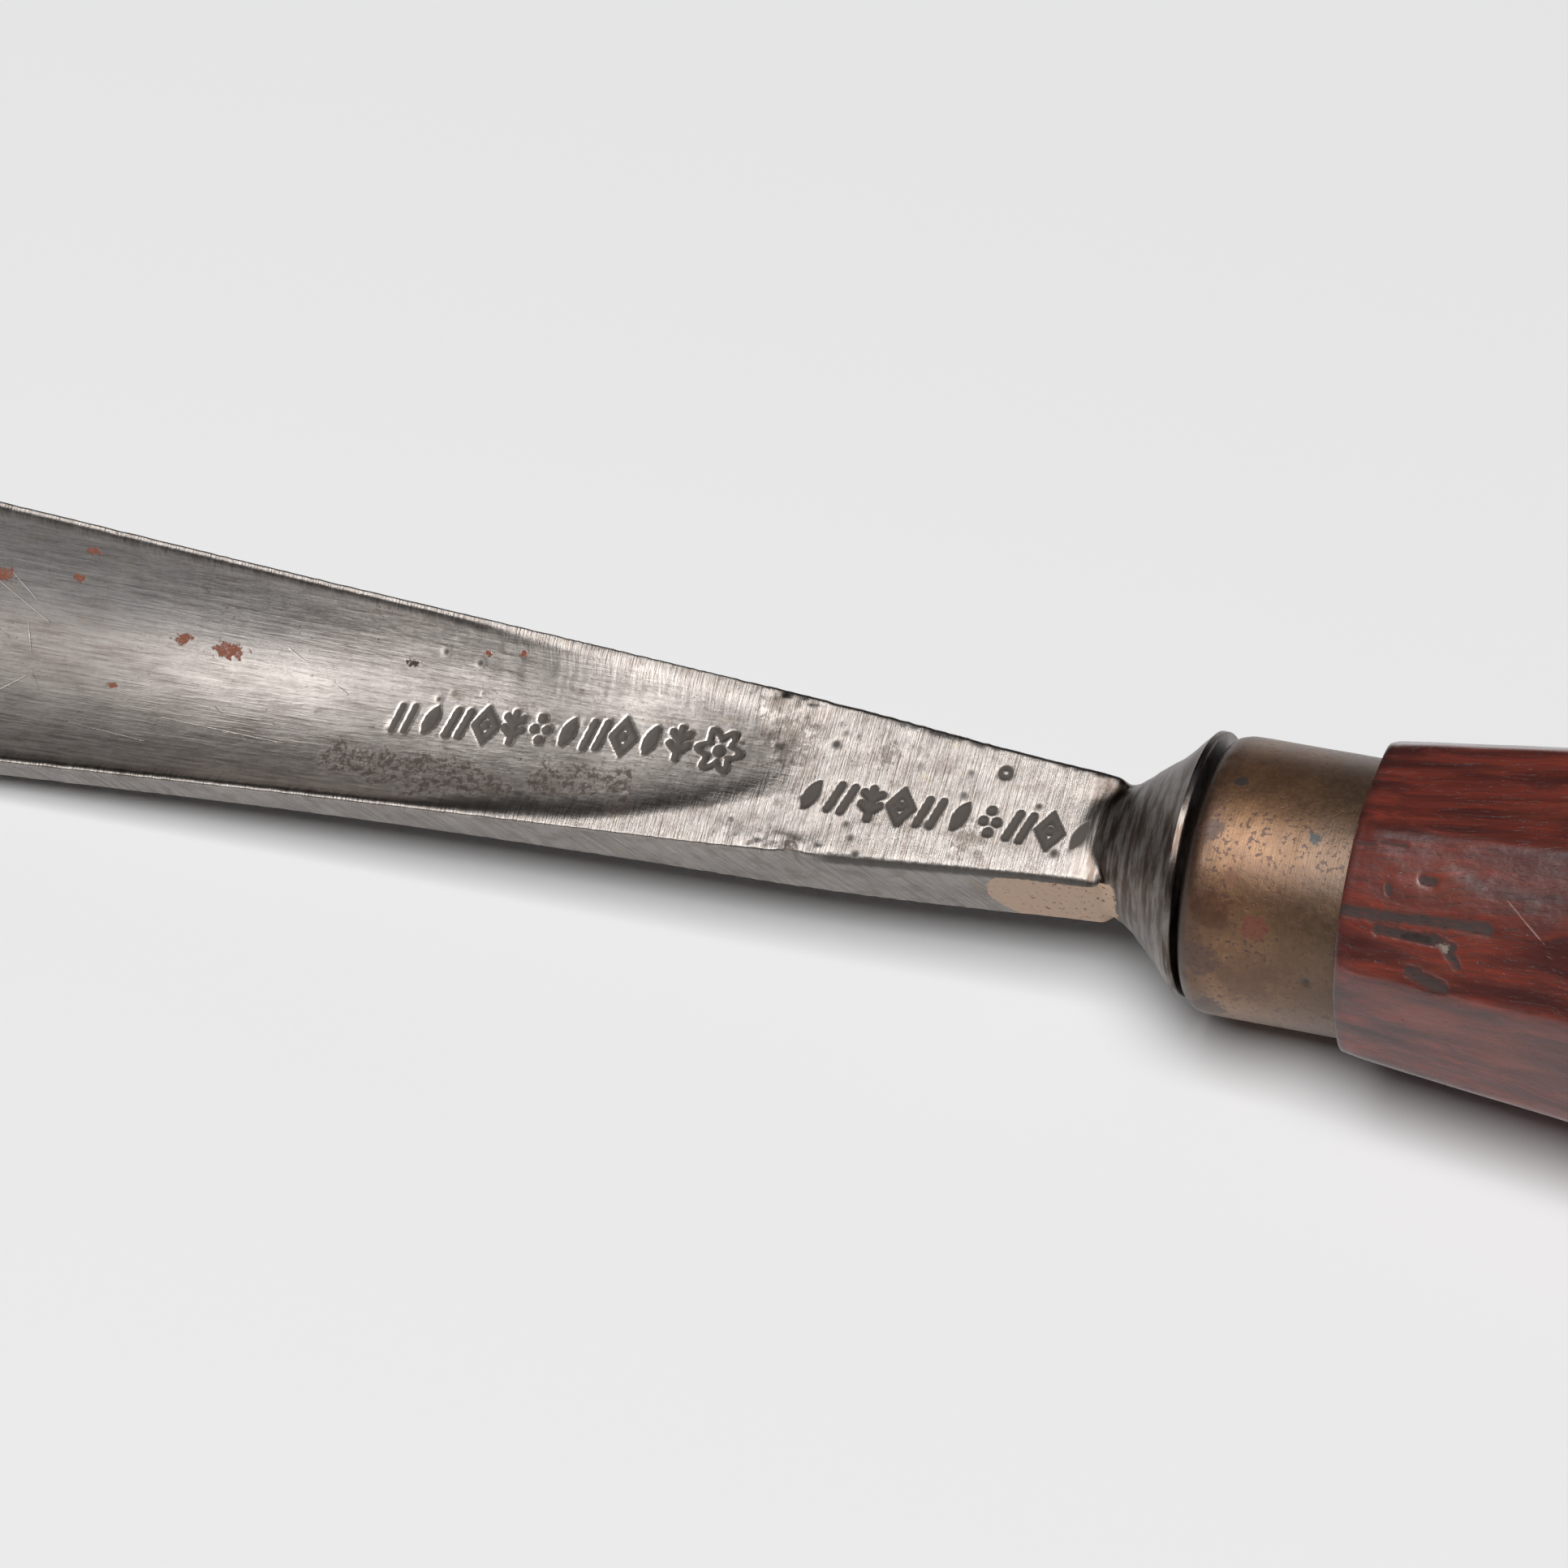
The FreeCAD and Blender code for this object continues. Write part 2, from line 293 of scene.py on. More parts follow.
def punch_marks(x, y):
    """How deep each point lies in a punched mark: 0 outside, 1 on the floor of a stroke."""
    depth = np.zeros_like(x)
    jitter = np.random.default_rng(11)
    for start, end, kinds, size, wear in PUNCH_ROWS:
        slope = math.atan2(end[1] - start[1], end[0] - start[0])
        for i, kind in enumerate(kinds):
            share = i / max(1, len(kinds) - 1)
            cx = start[0] + (end[0] - start[0]) * share
            cy = start[1] + (end[1] - start[1]) * share + jitter.normal(0, 0.05)
            lean = slope + jitter.normal(0, 0.035)
            force = 1
            if i == 0:
                force = wear[0]
            elif i == len(kinds) - 1:
                force = wear[1]
            near = (np.abs(x - cx) < 2) & (np.abs(y - cy) < 2)
            dx = x[near] - cx
            dy = y[near] - cy
            u = (dx * math.cos(lean) + dy * math.sin(lean)) / size
            v = (dy * math.cos(lean) - dx * math.sin(lean)) / size
            away = punch_distance(kind, u, v) * size
            uneven = 1 + 0.25 * grain(dx * 1.1 + 31 * i, dy * 1.1, 5)
            mark = force * uneven * (1 - step(away, PUNCH_STROKE * 0.5, PUNCH_STROKE * 1.5))
            depth[near] = np.maximum(depth[near], mark)
    return depth


def hollow_shape(x, y, half_width):
    """Depth of the hollow under the rims, and how far inside it each point is (0 to 1)."""
    inner = half_width - LAND
    along = np.clip((x - BOWL_START_X) / (BOWL_END_X - BOWL_START_X), -0.7, 1.25)
    ahead = np.maximum(along, 0)
    skew = BOWL_SKEW * ahead ** 1.5
    near_inner = inner * (1 - BOWL_NARROWING * step(along, 0, 0.9))
    across = np.where(y > skew, (y - skew) / inner, (skew - y) / near_inner)
    q = across ** (2 + 0.4 * step(along, 0, 0.6)) + ahead ** 2.4
    inside_q = np.minimum(q, 1)
    crisp = (1 - q) * (1 + 0.14 * inside_q)
    rounded = (1 - inside_q) ** 1.7 * (1 + 0.9 * inside_q)
    worn = step(along, -0.65, 0.05)  # the rims of the bowl are worn round
    depth = smooth_curve(x, HOLLOW_DEPTH) * (crisp * (1 - worn) + rounded * worn)
    lip = 0.06 + 0.24 * step(along, 0, 0.8)
    inside = step(1 - q, 0, 0.2 + 0.45 * worn)
    return soft_max(depth, 0, lip) - lip * 0.12, inside


def pits(x, y):
    """Small corrosion pits, most of them round the bowl and on the shank."""
    depth = np.zeros_like(x)
    draw = np.random.default_rng(23)
    for _ in range(PIT_COUNT):
        cx = draw.uniform(-52, -8)
        cy = draw.uniform(-1, 1) * 4.6
        radius = draw.uniform(0.10, 0.30)
        force = draw.uniform(0.012, 0.045)
        depth += force * np.exp(-((x - cx) ** 2 + (y - cy) ** 2) / radius ** 2)
    ring = np.hypot(x - RING_MARK[0], y - RING_MARK[1])
    return depth + 0.07 * hump(ring, 0.33, 0.13)


def top_damage(x, y, half_width):
    """Heights added on top: a ragged shoulder by the bowl, burrs round the notch, file waves."""
    side = y / half_width
    ragged = 0.5 + 0.5 * grain(x * 1.3, y * 1.3, 7) + 0.22 * grain(x * 2.9, y * 2.9, 8)
    shoulder = 0.15 * step(x, -31, -29.6) * (1 - step(x, -26.6, -25.2)) * hump(side, 0.93, 0.16)
    lower = 0.09 * step(x, -31.5, -29) * (1 - step(x, -24, -22.6)) * hump(side, -0.9, 0.16)
    from_notch = np.hypot(x - NOTCH_X, y + half_width - NOTCH_CUT)
    burr = 0.11 * hump(from_notch, 0, 0.55)
    rough_x = step(x, -37, -27.5) * (1 - 0.65 * step(x, -26, -22))
    u, v = 0.8 * x + 0.6 * y, 0.8 * y - 0.6 * x  # turned, so no dent lines up with the blade
    dents = 0.018 * rough_x * (grain(u * 1.1, v * 1.1, 9) + 0.25 * grain(u * 2.7, v * 2.7, 10))
    filed = 0.012 * step(x, -27.5, -25) * grain(x * 1.4, y * 0.25, 12)
    brushed = 0.010 * (1 - step(x, -44, -38)) * grain(x * 0.10, y * 2.3, 13)
    fall = 0.42 * step(x, -9.5, -5.5) ** 2  # the flat dips where it meets the neck
    on_edge = step(x, -24, -20) * hump(np.abs(side), 1, 0.07)
    edge_dents = np.abs(0.10 * on_edge * grain(x * 1.3, y * 0, 14))
    return (shoulder + lower) * ragged + burr + dents + filed + brushed - fall - edge_dents


def with_neck(x, ys, zs):
    """Sections that shrink away as the trumpet of the bolster takes over, and the neck's mask."""
    fade = 1 - 0.5 * step(x, SHANK_END_X, -4.2)
    ys = ys * fade
    zs = zs * fade
    far = np.hypot(ys, zs)
    t = x - NECK_X
    flare = NECK_RADIUS + TRUMPET_SLOPE * t + TRUMPET_CURVE * t * (t - TRUMPET_SPAN)
    flare = np.where(t < 0, NECK_RADIUS + 1.6 * t, flare)
    angle = np.arctan2(zs, ys)
    ridges = 0.1 * grain(x * 1.5, angle * 1.8 + 9, 15) + 0.014 * grain(x * 3.9, angle * 2.6 + 9, 16)
    flare = flare + ridges * step(t, -0.4, 1.1) * (1 - step(x, -1.6, -1))
    rounding = 0.45 * step(t, -1.5, 1) + 1e-6
    out = soft_max(far, np.maximum(flare, 0), rounding) / np.maximum(far, 1e-6)
    out = 1 + (out - 1) * step(x, -10, -8.4)
    return ys * out, zs * out, step(x, -8.8, -6.2)


def disc_and_tang(outline):
    """Rings that follow the neck's last outline, in y and z."""
    direction = outline / np.linalg.norm(outline, axis=1)[:, None]
    box = direction / np.abs(direction).max(axis=1)[:, None]
    rings = [(at, direction * size) for at, size in (
        (-0.80, DISC_RADIUS), (-0.52, DISC_RADIUS), (-0.43, DISC_RADIUS - 0.04),
        (DISC_BACK_X, 8.12), (DISC_BACK_X, 6.4), (DISC_BACK_X, 4.6),
    )]
    for share in (0, 0.02, 0.25, 0.5, 0.75, 1):
        at = DISC_BACK_X + share * (TANG_END_X - DISC_BACK_X)
        rings.append((at, box * (TANG_HALF + share * (TANG_TIP_HALF - TANG_HALF))))
    return np.stack([np.insert(shape, 0, at, axis=1) for at, shape in rings])


def blade_rings():
    """Sections of the whole forging, and the masks that its material uses."""
    xs = np.concatenate([
        np.linspace(EDGE_X, FINE_FROM_X, 110, endpoint=False),
        np.linspace(FINE_FROM_X, SHANK_END_X, 352, endpoint=False),
        np.linspace(SHANK_END_X, DISC_FRONT_X, 46),
    ])
    count = len(xs)
    x = xs[:, None]
    shank_x = np.minimum(x, HALF_WIDTH[-1][0])
    width = smooth_curve(shank_x, HALF_WIDTH)
    flank = smooth_curve(shank_x, FLANK_HEIGHT)
    back = smooth_curve(shank_x, BACK_Z)
    wander = 0.035 * grain(x * 0.9, x * 0, 3) + 0.02 * grain(x * 3.1, x * 0, 4)
    width = width - np.abs(wander)
    corner = np.minimum(0.12 + 0.14 * step(x, -34, -24), 0.35 * flank)

    # across the top
    y_top = np.linspace(-1, 1, TOP_POINTS)[None, :] * (width - corner)
    x_top = np.broadcast_to(x, y_top.shape)
    wide = np.broadcast_to(width, y_top.shape)
    depth, inside = hollow_shape(x_top, y_top, wide)
    marks = punch_marks(x_top, y_top)
    pitting = pits(x_top, y_top)
    z_top = RIM_Z - depth - PUNCH_DEPTH * marks - pitting + top_damage(x_top, y_top, wide)

    # rounded corner, flank, and the rounded back between the flanks
    turn = np.linspace(0, 90, CORNER_POINTS + 1)[1:] * math.pi / 180
    y_corner = width - corner + corner * np.sin(turn)[None, :]
    z_corner = (corner - corner * np.cos(turn)[None, :]) * np.ones_like(x)
    down = np.linspace(0, 1, FLANK_POINTS + 1)[None, 1:]
    drop = corner + (flank - corner) * down
    y_flank = width + FLANK_LEAN * drop
    z_flank = RIM_Z - drop
    notch = NOTCH_CUT * hump(x, NOTCH_X, 0.5)
    low = width + FLANK_LEAN * flank
    rise = (RIM_Z - flank) - back
    radius = (low ** 2 + rise ** 2) / (2 * rise)
    t = np.linspace(1, -1, BACK_POINTS + 2)[None, 1:-1]
    y_back = low * t
    z_back = back + radius - np.sqrt(radius ** 2 - y_back ** 2)

    right_z = z_top[:, -1:] - z_corner
    left_z = z_top[:, :1] - z_corner
    join = np.exp(-(drop - corner) / 0.6)
    near_cut = notch * np.exp(-(drop / 1.3) ** 2)
    left_flank_z = z_flank + (left_z[:, -1:] - (RIM_Z - corner)) * join
    right_flank_z = z_flank + (right_z[:, -1:] - (RIM_Z - corner)) * join
    near_flank = (-y_flank + near_cut)[:, ::-1]
    near_corner = (-y_corner + notch)[:, ::-1]
    ys = np.concatenate([y_top, y_corner, y_flank, y_back, near_flank, near_corner], axis=1)
    near_z = [left_flank_z[:, ::-1], left_z[:, ::-1]]
    zs = np.concatenate([z_top, right_z, right_flank_z, z_back] + near_z, axis=1)
    around = ys.shape[1]
    xx = np.broadcast_to(x, ys.shape)

    ys, zs, on_neck = with_neck(xx, ys, zs)
    rings = np.stack([xx, ys, zs], axis=-1)
    rings = np.concatenate([rings, disc_and_tang(rings[-1, :, 1:])])

    def mask(values, end=0):
        """Mask of the sections, with one value for the disc and the tang."""
        rest = np.full((len(rings) - count, around), end)
        return np.concatenate([np.broadcast_to(values, (count, around)), rest])

    def top_mask(values):
        """Mask of values known only across the top."""
        return mask(np.concatenate([values, np.zeros((count, around - TOP_POINTS))], axis=1))

    on_top = np.ones(around)
    on_top[TOP_POINTS + CORNER_POINTS:-CORNER_POINTS] = 0
    masks = {
        "hollow": top_mask(inside),
        "stamp": top_mask(np.clip(marks + 6 * pitting, 0, 1)),
        "top": mask(on_top * (1 - on_neck)),
        "neck": mask(on_neck, 1),
    }
    turned = rings.copy()
    c, s = math.cos(FORGING_TURN), math.sin(FORGING_TURN)
    turned[..., 0] = rings[..., 0] * c - rings[..., 1] * s
    turned[..., 1] = rings[..., 0] * s + rings[..., 1] * c + FORGING_SHIFT_Y
    return turned, masks


# ---- ferrule

FERRULE_WALL = 0.9
FERRULE_ROUND = 1.2
LIP_RADIUS = 7.2
DIMPLE_X = 8.4
DIMPLE_ANGLE = math.radians(59)
FERRULE_AROUND = 400


def around_tool(x, angle, radius):
    """Points at an angle from +Z towards -Y, round the tool's axis."""
    return np.stack([x, -radius * np.sin(angle), radius * np.cos(angle)], axis=-1)


def ferrule_rings():
    """Closed profile of the tube and its turned-in lip, carried round the axis."""
    inner = FERRULE_RADIUS - FERRULE_WALL
    profile = [(0.95, inner), (0.9, LIP_RADIUS + 0.1), (0.75, LIP_RADIUS), (0.1, LIP_RADIUS)]
    for turn in np.linspace(0, math.pi / 2, 9):
        profile.append((
            FERRULE_ROUND * (1 - math.cos(turn)),
            FERRULE_RADIUS - FERRULE_ROUND * (1 - math.sin(turn)),
        ))
    for x in np.linspace(FERRULE_ROUND, FERRULE_LENGTH - 0.12, 62)[1:]:
        profile.append((x, FERRULE_RADIUS))
    profile += [(FERRULE_LENGTH, FERRULE_RADIUS - 0.12), (FERRULE_LENGTH, inner + 0.1)]
    for x in np.linspace(FERRULE_LENGTH - 0.1, 1.2, 8):
        profile.append((x, inner))
    profile = np.array(profile)
    angle = np.linspace(-math.pi, math.pi, FERRULE_AROUND, endpoint=False)[None, :]
    x = profile[:, :1] * np.ones_like(angle)
    radius = profile[:, 1:] * np.ones_like(angle)
    outside = step(profile[:, 1:], inner + 0.3, FERRULE_RADIUS)
    arc = angle * FERRULE_RADIUS
    wave = 0.020 * grain(x * 0.35, arc * 0.22 + 40, 31) + 0.008 * grain(x * 1.4, arc * 1.1 + 40, 32)
    front = 0.05 * grain(x * 0, arc * 0.30 + 40, 33) + 0.03 * grain(x, arc * 1.2 + 40, 34)
    front = front * hump(x, 0.9, 0.9)
    from_dimple = np.hypot(x - DIMPLE_X, arc - DIMPLE_ANGLE * FERRULE_RADIUS)
    dimple = 0.16 * hump(from_dimple, 0, 0.26)
    radius = radius - outside * (np.abs(wave) + np.abs(front) + dimple)
    return around_tool(x, angle, radius), {"dimple": outside * hump(from_dimple, 0, 0.30)}


# ---- handle

HANDLE_FRONT_X = 10.35
HANDLE_END_X = 118
CORNER_RADIUS = [  # (x, axis to corner)
    (10.35, 10.55), (16, 11.3), (23, 12.2), (35, 13.8), (50, 14.8), (75, 14.6), (100, 13.4),
    (118, 12.2),
]
WIDE_FACET = 49  # degrees; the narrow facets take the rest
FACET_SHARPNESS = 90  # the higher, the sharper the edges between facets
HANDLE_INSET = 0.12  # keeps the worn surface inside the CAD solid's
GRIP_SHIFT_Y = 0.3
GRIP_TURN = math.radians(0.7)
SPIGOT_RADIUS = 7.68
SPIGOT_FRONT_X = 1
TANG_PLAY = 0.06
SHOULDER = 0.8
BUTT_FLAT = 7
BUTT_ROUND = 4.5
HANDLE_AROUND = 348
WEAR_RADIUS = 12  # radii at which degrees are turned into mm
CUT_RADIUS = 11.2


def octagon_radius(x, angle):
    """Distance from the axis to the planed surface. The angle runs from +Z towards -Y."""
    corner = smooth_curve(x, CORNER_RADIUS)
    half_wide = math.radians(WIDE_FACET) / 2
    half_narrow = math.pi / 4 - half_wide
    total = np.zeros_like(angle)
    for k in range(4):
        for centre, half in ((-FACET_TURN, half_narrow), (math.pi / 4 - FACET_TURN, half_wide)):
            facing = np.cos(angle - centre - k * math.pi / 2)
            flat = corner * math.cos(half)
            pull = (np.maximum(facing, 0.05) / flat) ** FACET_SHARPNESS
            total += np.where(facing > 0.05, pull, 0)
    sharp = total ** (-1 / FACET_SHARPNESS)
    # the facets are a little crowned by use, except the one that the handle lies on
    below = angle - math.pi + FACET_TURN
    lying = hump(np.arctan2(np.sin(below), np.cos(below)), 0, 0.5)
    held = hump(angle, math.pi / 4 - FACET_TURN, 0.45)  # the facet under the thumb is worn most
    crown = (0.14 + 0.44 * held) * (1 - lying)
    return sharp + crown * (corner * 0.985 - sharp) - HANDLE_INSET


def turned_limit(x):
    """Radius of the rounded front shoulder and butt."""
    low = CORNER_RADIUS[0][1] - SHOULDER
    t = np.clip((x - HANDLE_FRONT_X) / SHOULDER, 0, 1)
    front = low + SHOULDER * np.sqrt(1 - (1 - t) ** 2)
    front = front + np.maximum(x - HANDLE_FRONT_X - SHOULDER, 0) * 0.9
    butt = CORNER_RADIUS[-1][1] + 0.4
    t = np.clip((x - HANDLE_END_X + BUTT_ROUND) / BUTT_ROUND, 0, 1)
    end = BUTT_FLAT + (butt - BUTT_FLAT) * np.sqrt(1 - t ** 2)
    end = end + np.maximum(HANDLE_END_X - BUTT_ROUND - x, 0)
    return np.minimum(front, end)


# wear on the handle: start (x, angle), end (x, angle), half width, depth, all in mm and degrees
HANDLE_CUTS = [
    ((10.7, 25.6), (15, 24.6), 0.40, 0.06),
    ((14.6, 24.4), (19.8, 23.4), 0.36, 0.05),
    ((13, 30), (16.6, 29.8), 0.34, 0.12),
    ((16.4, 29), (17.7, 31.2), 0.30, 0.09),
    ((17.3, 32), (18.1, 36.4), 0.26, 0.07),
    ((15.2, 41.4), (17.4, 44.2), 0.38, 0.09),
    ((15.3, 11), (15.9, 11.6), 0.34, 0.06),
    ((13.2, 15), (13.3, 17.2), 0.20, 0.03),
    ((10.8, 2), (13.8, 1), 0.10, 0.08),
    ((47, 20), (49.5, 24), 0.4, 0.10),
    ((63, -30), (66, -29), 0.4, 0.09),
    ((88, 75), (92, 77), 0.4, 0.09),
    ((101, -70), (103, -66), 0.5, 0.10),
    ((74, 140), (78, 141), 0.5, 0.09),
    ((33, -120), (36, -118), 0.4, 0.09),
]


def handle_rings():
    """Tang hole, spigot, front face, grip and butt as one skin, and the mask of its cuts."""
    xs = np.concatenate([
        HANDLE_FRONT_X + SHOULDER * (1 - np.cos(np.linspace(0, math.pi / 2, 8))),
        np.linspace(HANDLE_FRONT_X + SHOULDER, 24.5, 104)[1:],
        np.linspace(24.5, 40, 38)[1:],
        np.linspace(40, HANDLE_END_X - BUTT_ROUND, 82)[1:],
        HANDLE_END_X - BUTT_ROUND + BUTT_ROUND * np.sin(np.linspace(0, math.pi / 2, 12))[1:],
    ])
    angle = np.linspace(-math.pi, math.pi, HANDLE_AROUND, endpoint=False)[None, :]
    x = xs[:, None] * np.ones_like(angle)
    angle = angle * np.ones_like(x)
    radius = octagon_radius(x, angle)
    limit = turned_limit(x)
    radius = -soft_max(-radius, -limit, 0.25)
    arc = angle * WEAR_RADIUS
    cut = np.zeros_like(x)
    grimy = np.zeros_like(x)
    for start, end, half, depth in HANDLE_CUTS:
        a = (start[0], math.radians(start[1]) * CUT_RADIUS)
        b = (end[0], math.radians(end[1]) * CUT_RADIUS)
        away = segment_distance(x, angle * CUT_RADIUS, a, b)
        uneven = 1 + 0.4 * grain(x * 2.1, arc * 2.1 + 300, 41)
        ragged = away * (1 + 0.22 * grain(x * 2.4, arc * 2.4 + 300, 42))
        groove = 1 - step(ragged, half * 0.4, half * 1.5)
        cut = np.maximum(cut, depth * groove * uneven)
        grimy = np.maximum(grimy, 1 - step(ragged, half * 0.7, half * 1.25))
    wavy = 0.05 * grain(x * 0.13, arc * 0.25 + 300, 43)
    wavy = wavy + 0.02 * grain(x * 0.5, arc * 0.6 + 300, 44)
    pores = 0.012 * np.maximum(grain(x * 0.7, arc * 3.2 + 300, 45), 0)
    radius = radius - cut - np.abs(wavy) - pores
    rings = around_tool(x, angle, radius)
    c, s = math.cos(GRIP_TURN), math.sin(GRIP_TURN)
    dx = rings[..., 0] - HANDLE_FRONT_X
    dy = rings[..., 1].copy()
    rings[..., 0] = np.maximum(HANDLE_FRONT_X, HANDLE_FRONT_X - 0.15 + dx * c - dy * s)
    rings[..., 1] = dx * s + dy * c + GRIP_SHIFT_Y
    centre = rings[-1].mean(axis=0)
    butt = [centre + (rings[-1:] - centre) * share for share in (0.7, 0.35, 0.06)]

    # front face, spigot inside the ferrule, and the square hole for the tang
    one = angle[0]
    hole = np.stack([-np.sin(one), np.cos(one)], axis=-1)
    hole = hole / np.abs(hole).max(axis=1)[:, None]

    def square(at, half):
        ring = np.concatenate([np.full((HANDLE_AROUND, 1), at), hole * half], axis=1)
        ring[:, 1] += FORGING_SHIFT_Y
        return ring

    inner = []
    for at, share in ((48.1, 1), (24, 0.5), (SPIGOT_FRONT_X, 0.02)):
        inner.append(square(at, TANG_HALF + share * (TANG_TIP_HALF - TANG_HALF) + TANG_PLAY))
    for at, size in (
        (SPIGOT_FRONT_X, 7.5), (1.2, SPIGOT_RADIUS), (5, SPIGOT_RADIUS),
        (HANDLE_FRONT_X, SPIGOT_RADIUS), (HANDLE_FRONT_X, 8.8),
    ):
        inner.append(around_tool(np.full_like(one, at), one, np.full_like(one, size)))
    damage = np.concatenate([
        np.zeros((len(inner), HANDLE_AROUND)), grimy, np.zeros((len(butt), HANDLE_AROUND)),
    ])
    return np.concatenate([np.stack(inner), rings] + butt), {"damage": damage}


# ---- materials

def srgb(r, g, b):
    """Linear colour from 8-bit sRGB values."""
    out = []
    for v in (r, g, b):
        v /= 255
        out.append(v / 12.92 if v <= 0.04045 else ((v + 0.055) / 1.055) ** 2.4)
    return (*out, 1)


class Shader:
    """A node material, with short calls for the nodes that repeat."""

    def __init__(self, name):
        self.material = bpy.data.materials.new(name)
        self.material.use_nodes = True
        self.tree = self.material.node_tree
        self.tree.nodes.clear()
        place = self.node("TexCoord").outputs["Object"]
        self.tool = self.node(
            "Mapping", {"vector_type": "TEXTURE"}, Vector=place,
            Location=TOOL.translation, Rotation=TOOL.to_euler(), Scale=(MM, MM, MM),
        ).outputs["Vector"]
        split = self.node("SeparateXYZ", Vector=self.tool)
        self.x, self.y, self.z = split.outputs

    def node(self, kind, settings=None, **inputs):
        made = self.tree.nodes.new("ShaderNode" + kind)
        for key, value in (settings or {}).items():
            setattr(made, key, value)
        for key, value in inputs.items():
            self.plug(made.inputs[key.replace("_", " ")], value)
        return made

    def plug(self, socket, value):
        if isinstance(value, bpy.types.NodeSocket):
            self.tree.links.new(value, socket)
        else:
            socket.default_value = value

    def math(self, operation, *values):
        made = self.node("Math", {"operation": operation})
        for socket, value in zip(made.inputs, values):
            self.plug(socket, value)
        return made.outputs[0]

    def chain(self, operation, *values):
        return functools.reduce(lambda total, value: self.math(operation, total, value), values)

    add = functools.partialmethod(chain, "ADD")
    times = functools.partialmethod(chain, "MULTIPLY")
    most = functools.partialmethod(chain, "MAXIMUM")
    minus = functools.partialmethod(chain, "SUBTRACT")

    def vector(self, operation, *values, output="Vector", **inputs):
        made = self.node("VectorMath", {"operation": operation}, **inputs)
        for socket, value in zip(made.inputs, values):
            self.plug(socket, value)
        return made.outputs[output]

    def fit(self, value, low, high, to_low=0, to_high=1, smooth=True):
        kind = "SMOOTHSTEP" if smooth else "LINEAR"
        made = self.node("MapRange", {"interpolation_type": kind}, Value=value)
        names = ("From Min", "From Max", "To Min", "To Max")
        for name, number in zip(names, (low, high, to_low, to_high)):
            self.plug(made.inputs[name], number)
        return made.outputs[0]

    def noise(self, along, across, detail=3, rough=0.55, vector=None, shift=0):
        """Noise of one scale along the tool and another across it. The shift picks the pattern."""
        place = self.vector("MULTIPLY", vector or self.tool, (along, across, across))
        if shift:
            place = self.vector("ADD", place, (shift, shift * 0.37, shift * 0.61))
        made = self.node("TexNoise", Vector=place, Scale=1, Detail=detail, Roughness=rough)
        return made.outputs["Fac"]

    def mask(self, name):
        return self.node("Attribute", {"attribute_name": name}).outputs["Fac"]

    def mix(self, share, a, b, kind="RGBA", first=6, result=2):
        """Colour that goes from a to b."""
        made = self.node("Mix", {"data_type": kind})
        for number, value in ((0, share), (first, a), (first + 1, b)):
            self.plug(made.inputs[number], value)
        return made.outputs[result]

    def tint(self, base, colour, *masks):
        """Base with a colour laid over it where all the masks are 1."""
        return self.mix(self.times(*masks), base, colour)

    def scale(self, value, factor):
        """Colour or vector times a factor, which may be a socket."""
        return self.vector("SCALE", value, Scale=factor)

    def blend(self, share, a, b):
        """Number that goes from a to b."""
        return self.mix(share, a, b, "FLOAT", 2, 0)

    def spot(self, centre, radius, ragged=0.6, scale=1.6, squash=(1, 1, 1)):
        """Mask of a ragged blot round a place on the tool."""
        away = self.vector("MULTIPLY", self.vector("SUBTRACT", self.tool, centre), squash)
        length = self.vector("LENGTH", away, output="Value")
        edge = self.noise(scale, scale, detail=4, rough=0.65, shift=centre[0])
        length = self.add(length, self.times(self.minus(edge, 0.5), ragged * radius * 3.2))
        return self.fit(length, radius * 0.75, radius * 1.1, 1, 0)

    def scratch(self, start, end, width):
        """Mask of a thin straight scratch between two places on the tool."""
        start, end = Vector(start), Vector(end)
        run = end - start
        away = self.vector("SUBTRACT", self.tool, start)
        along = self.vector("DOT_PRODUCT", away, run / run.length_squared, output="Value")
        along = self.math("MINIMUM", self.math("MAXIMUM", along, 0), 1)
        gap = self.vector("SUBTRACT", away, self.scale(run, along))
        return self.fit(self.vector("LENGTH", gap, output="Value"), width * 0.3, width, 1, 0)

    def bump(self, height, distance):
        made = self.node("Bump", Height=height, Distance=distance, Strength=1)
        return made.outputs["Normal"]

    def finish(self, **inputs):
        surface = self.node("BsdfPrincipled", **inputs)
        out = self.node("OutputMaterial")
        self.tree.links.new(surface.outputs[0], out.inputs["Surface"])
        return self.material


def on_blade(x, y, z=RIM_Z):
    """Place on the forging as it sits in the tool frame."""
    c, s = math.cos(FORGING_TURN), math.sin(FORGING_TURN)
    return (x * c - y * s, x * s + y * c + FORGING_SHIFT_Y, z)


def in_hollow(x, y):
    """Place on the surface of the hollow."""
    px, py = np.array([float(x)]), np.array([float(y)])
    depth, _ = hollow_shape(px, py, smooth_curve(px, HALF_WIDTH))
    return on_blade(x, y, RIM_Z - float(depth[0]))


# spots on the blade: x, y, radius
RUST = [
    (-66, 2.4, 0.85), (-69.3, 2.6, 0.5), (-48.5, 4.6, 0.3), (-46, 4.9, 0.3), (-76.4, 6.9, 0.36),
    (-77.2, 5.3, 0.34), (-82.5, 4.8, 0.6), (-73.2, -1.2, 0.3), (-95, 1, 0.7), (-101, -5, 0.5),
    (-91.5, -4, 0.4),
]
BLACK_RUST = [(-53.4, 3.4, 0.36)]
OXIDE = [
    (-56.3, -3.7, 1.5), (-53.2, -3.9, 1.7), (-50.3, -4, 1.9), (-47.6, -3.9, 1.4), (-45.6, -4, 1.1),
    (-42.2, -3, 1.5), (-40.2, -2.7, 1.2), (-38, -2.4, 1.1), (-37.2, -4, 0.8), (-25.6, -4.8, 0.45),
]
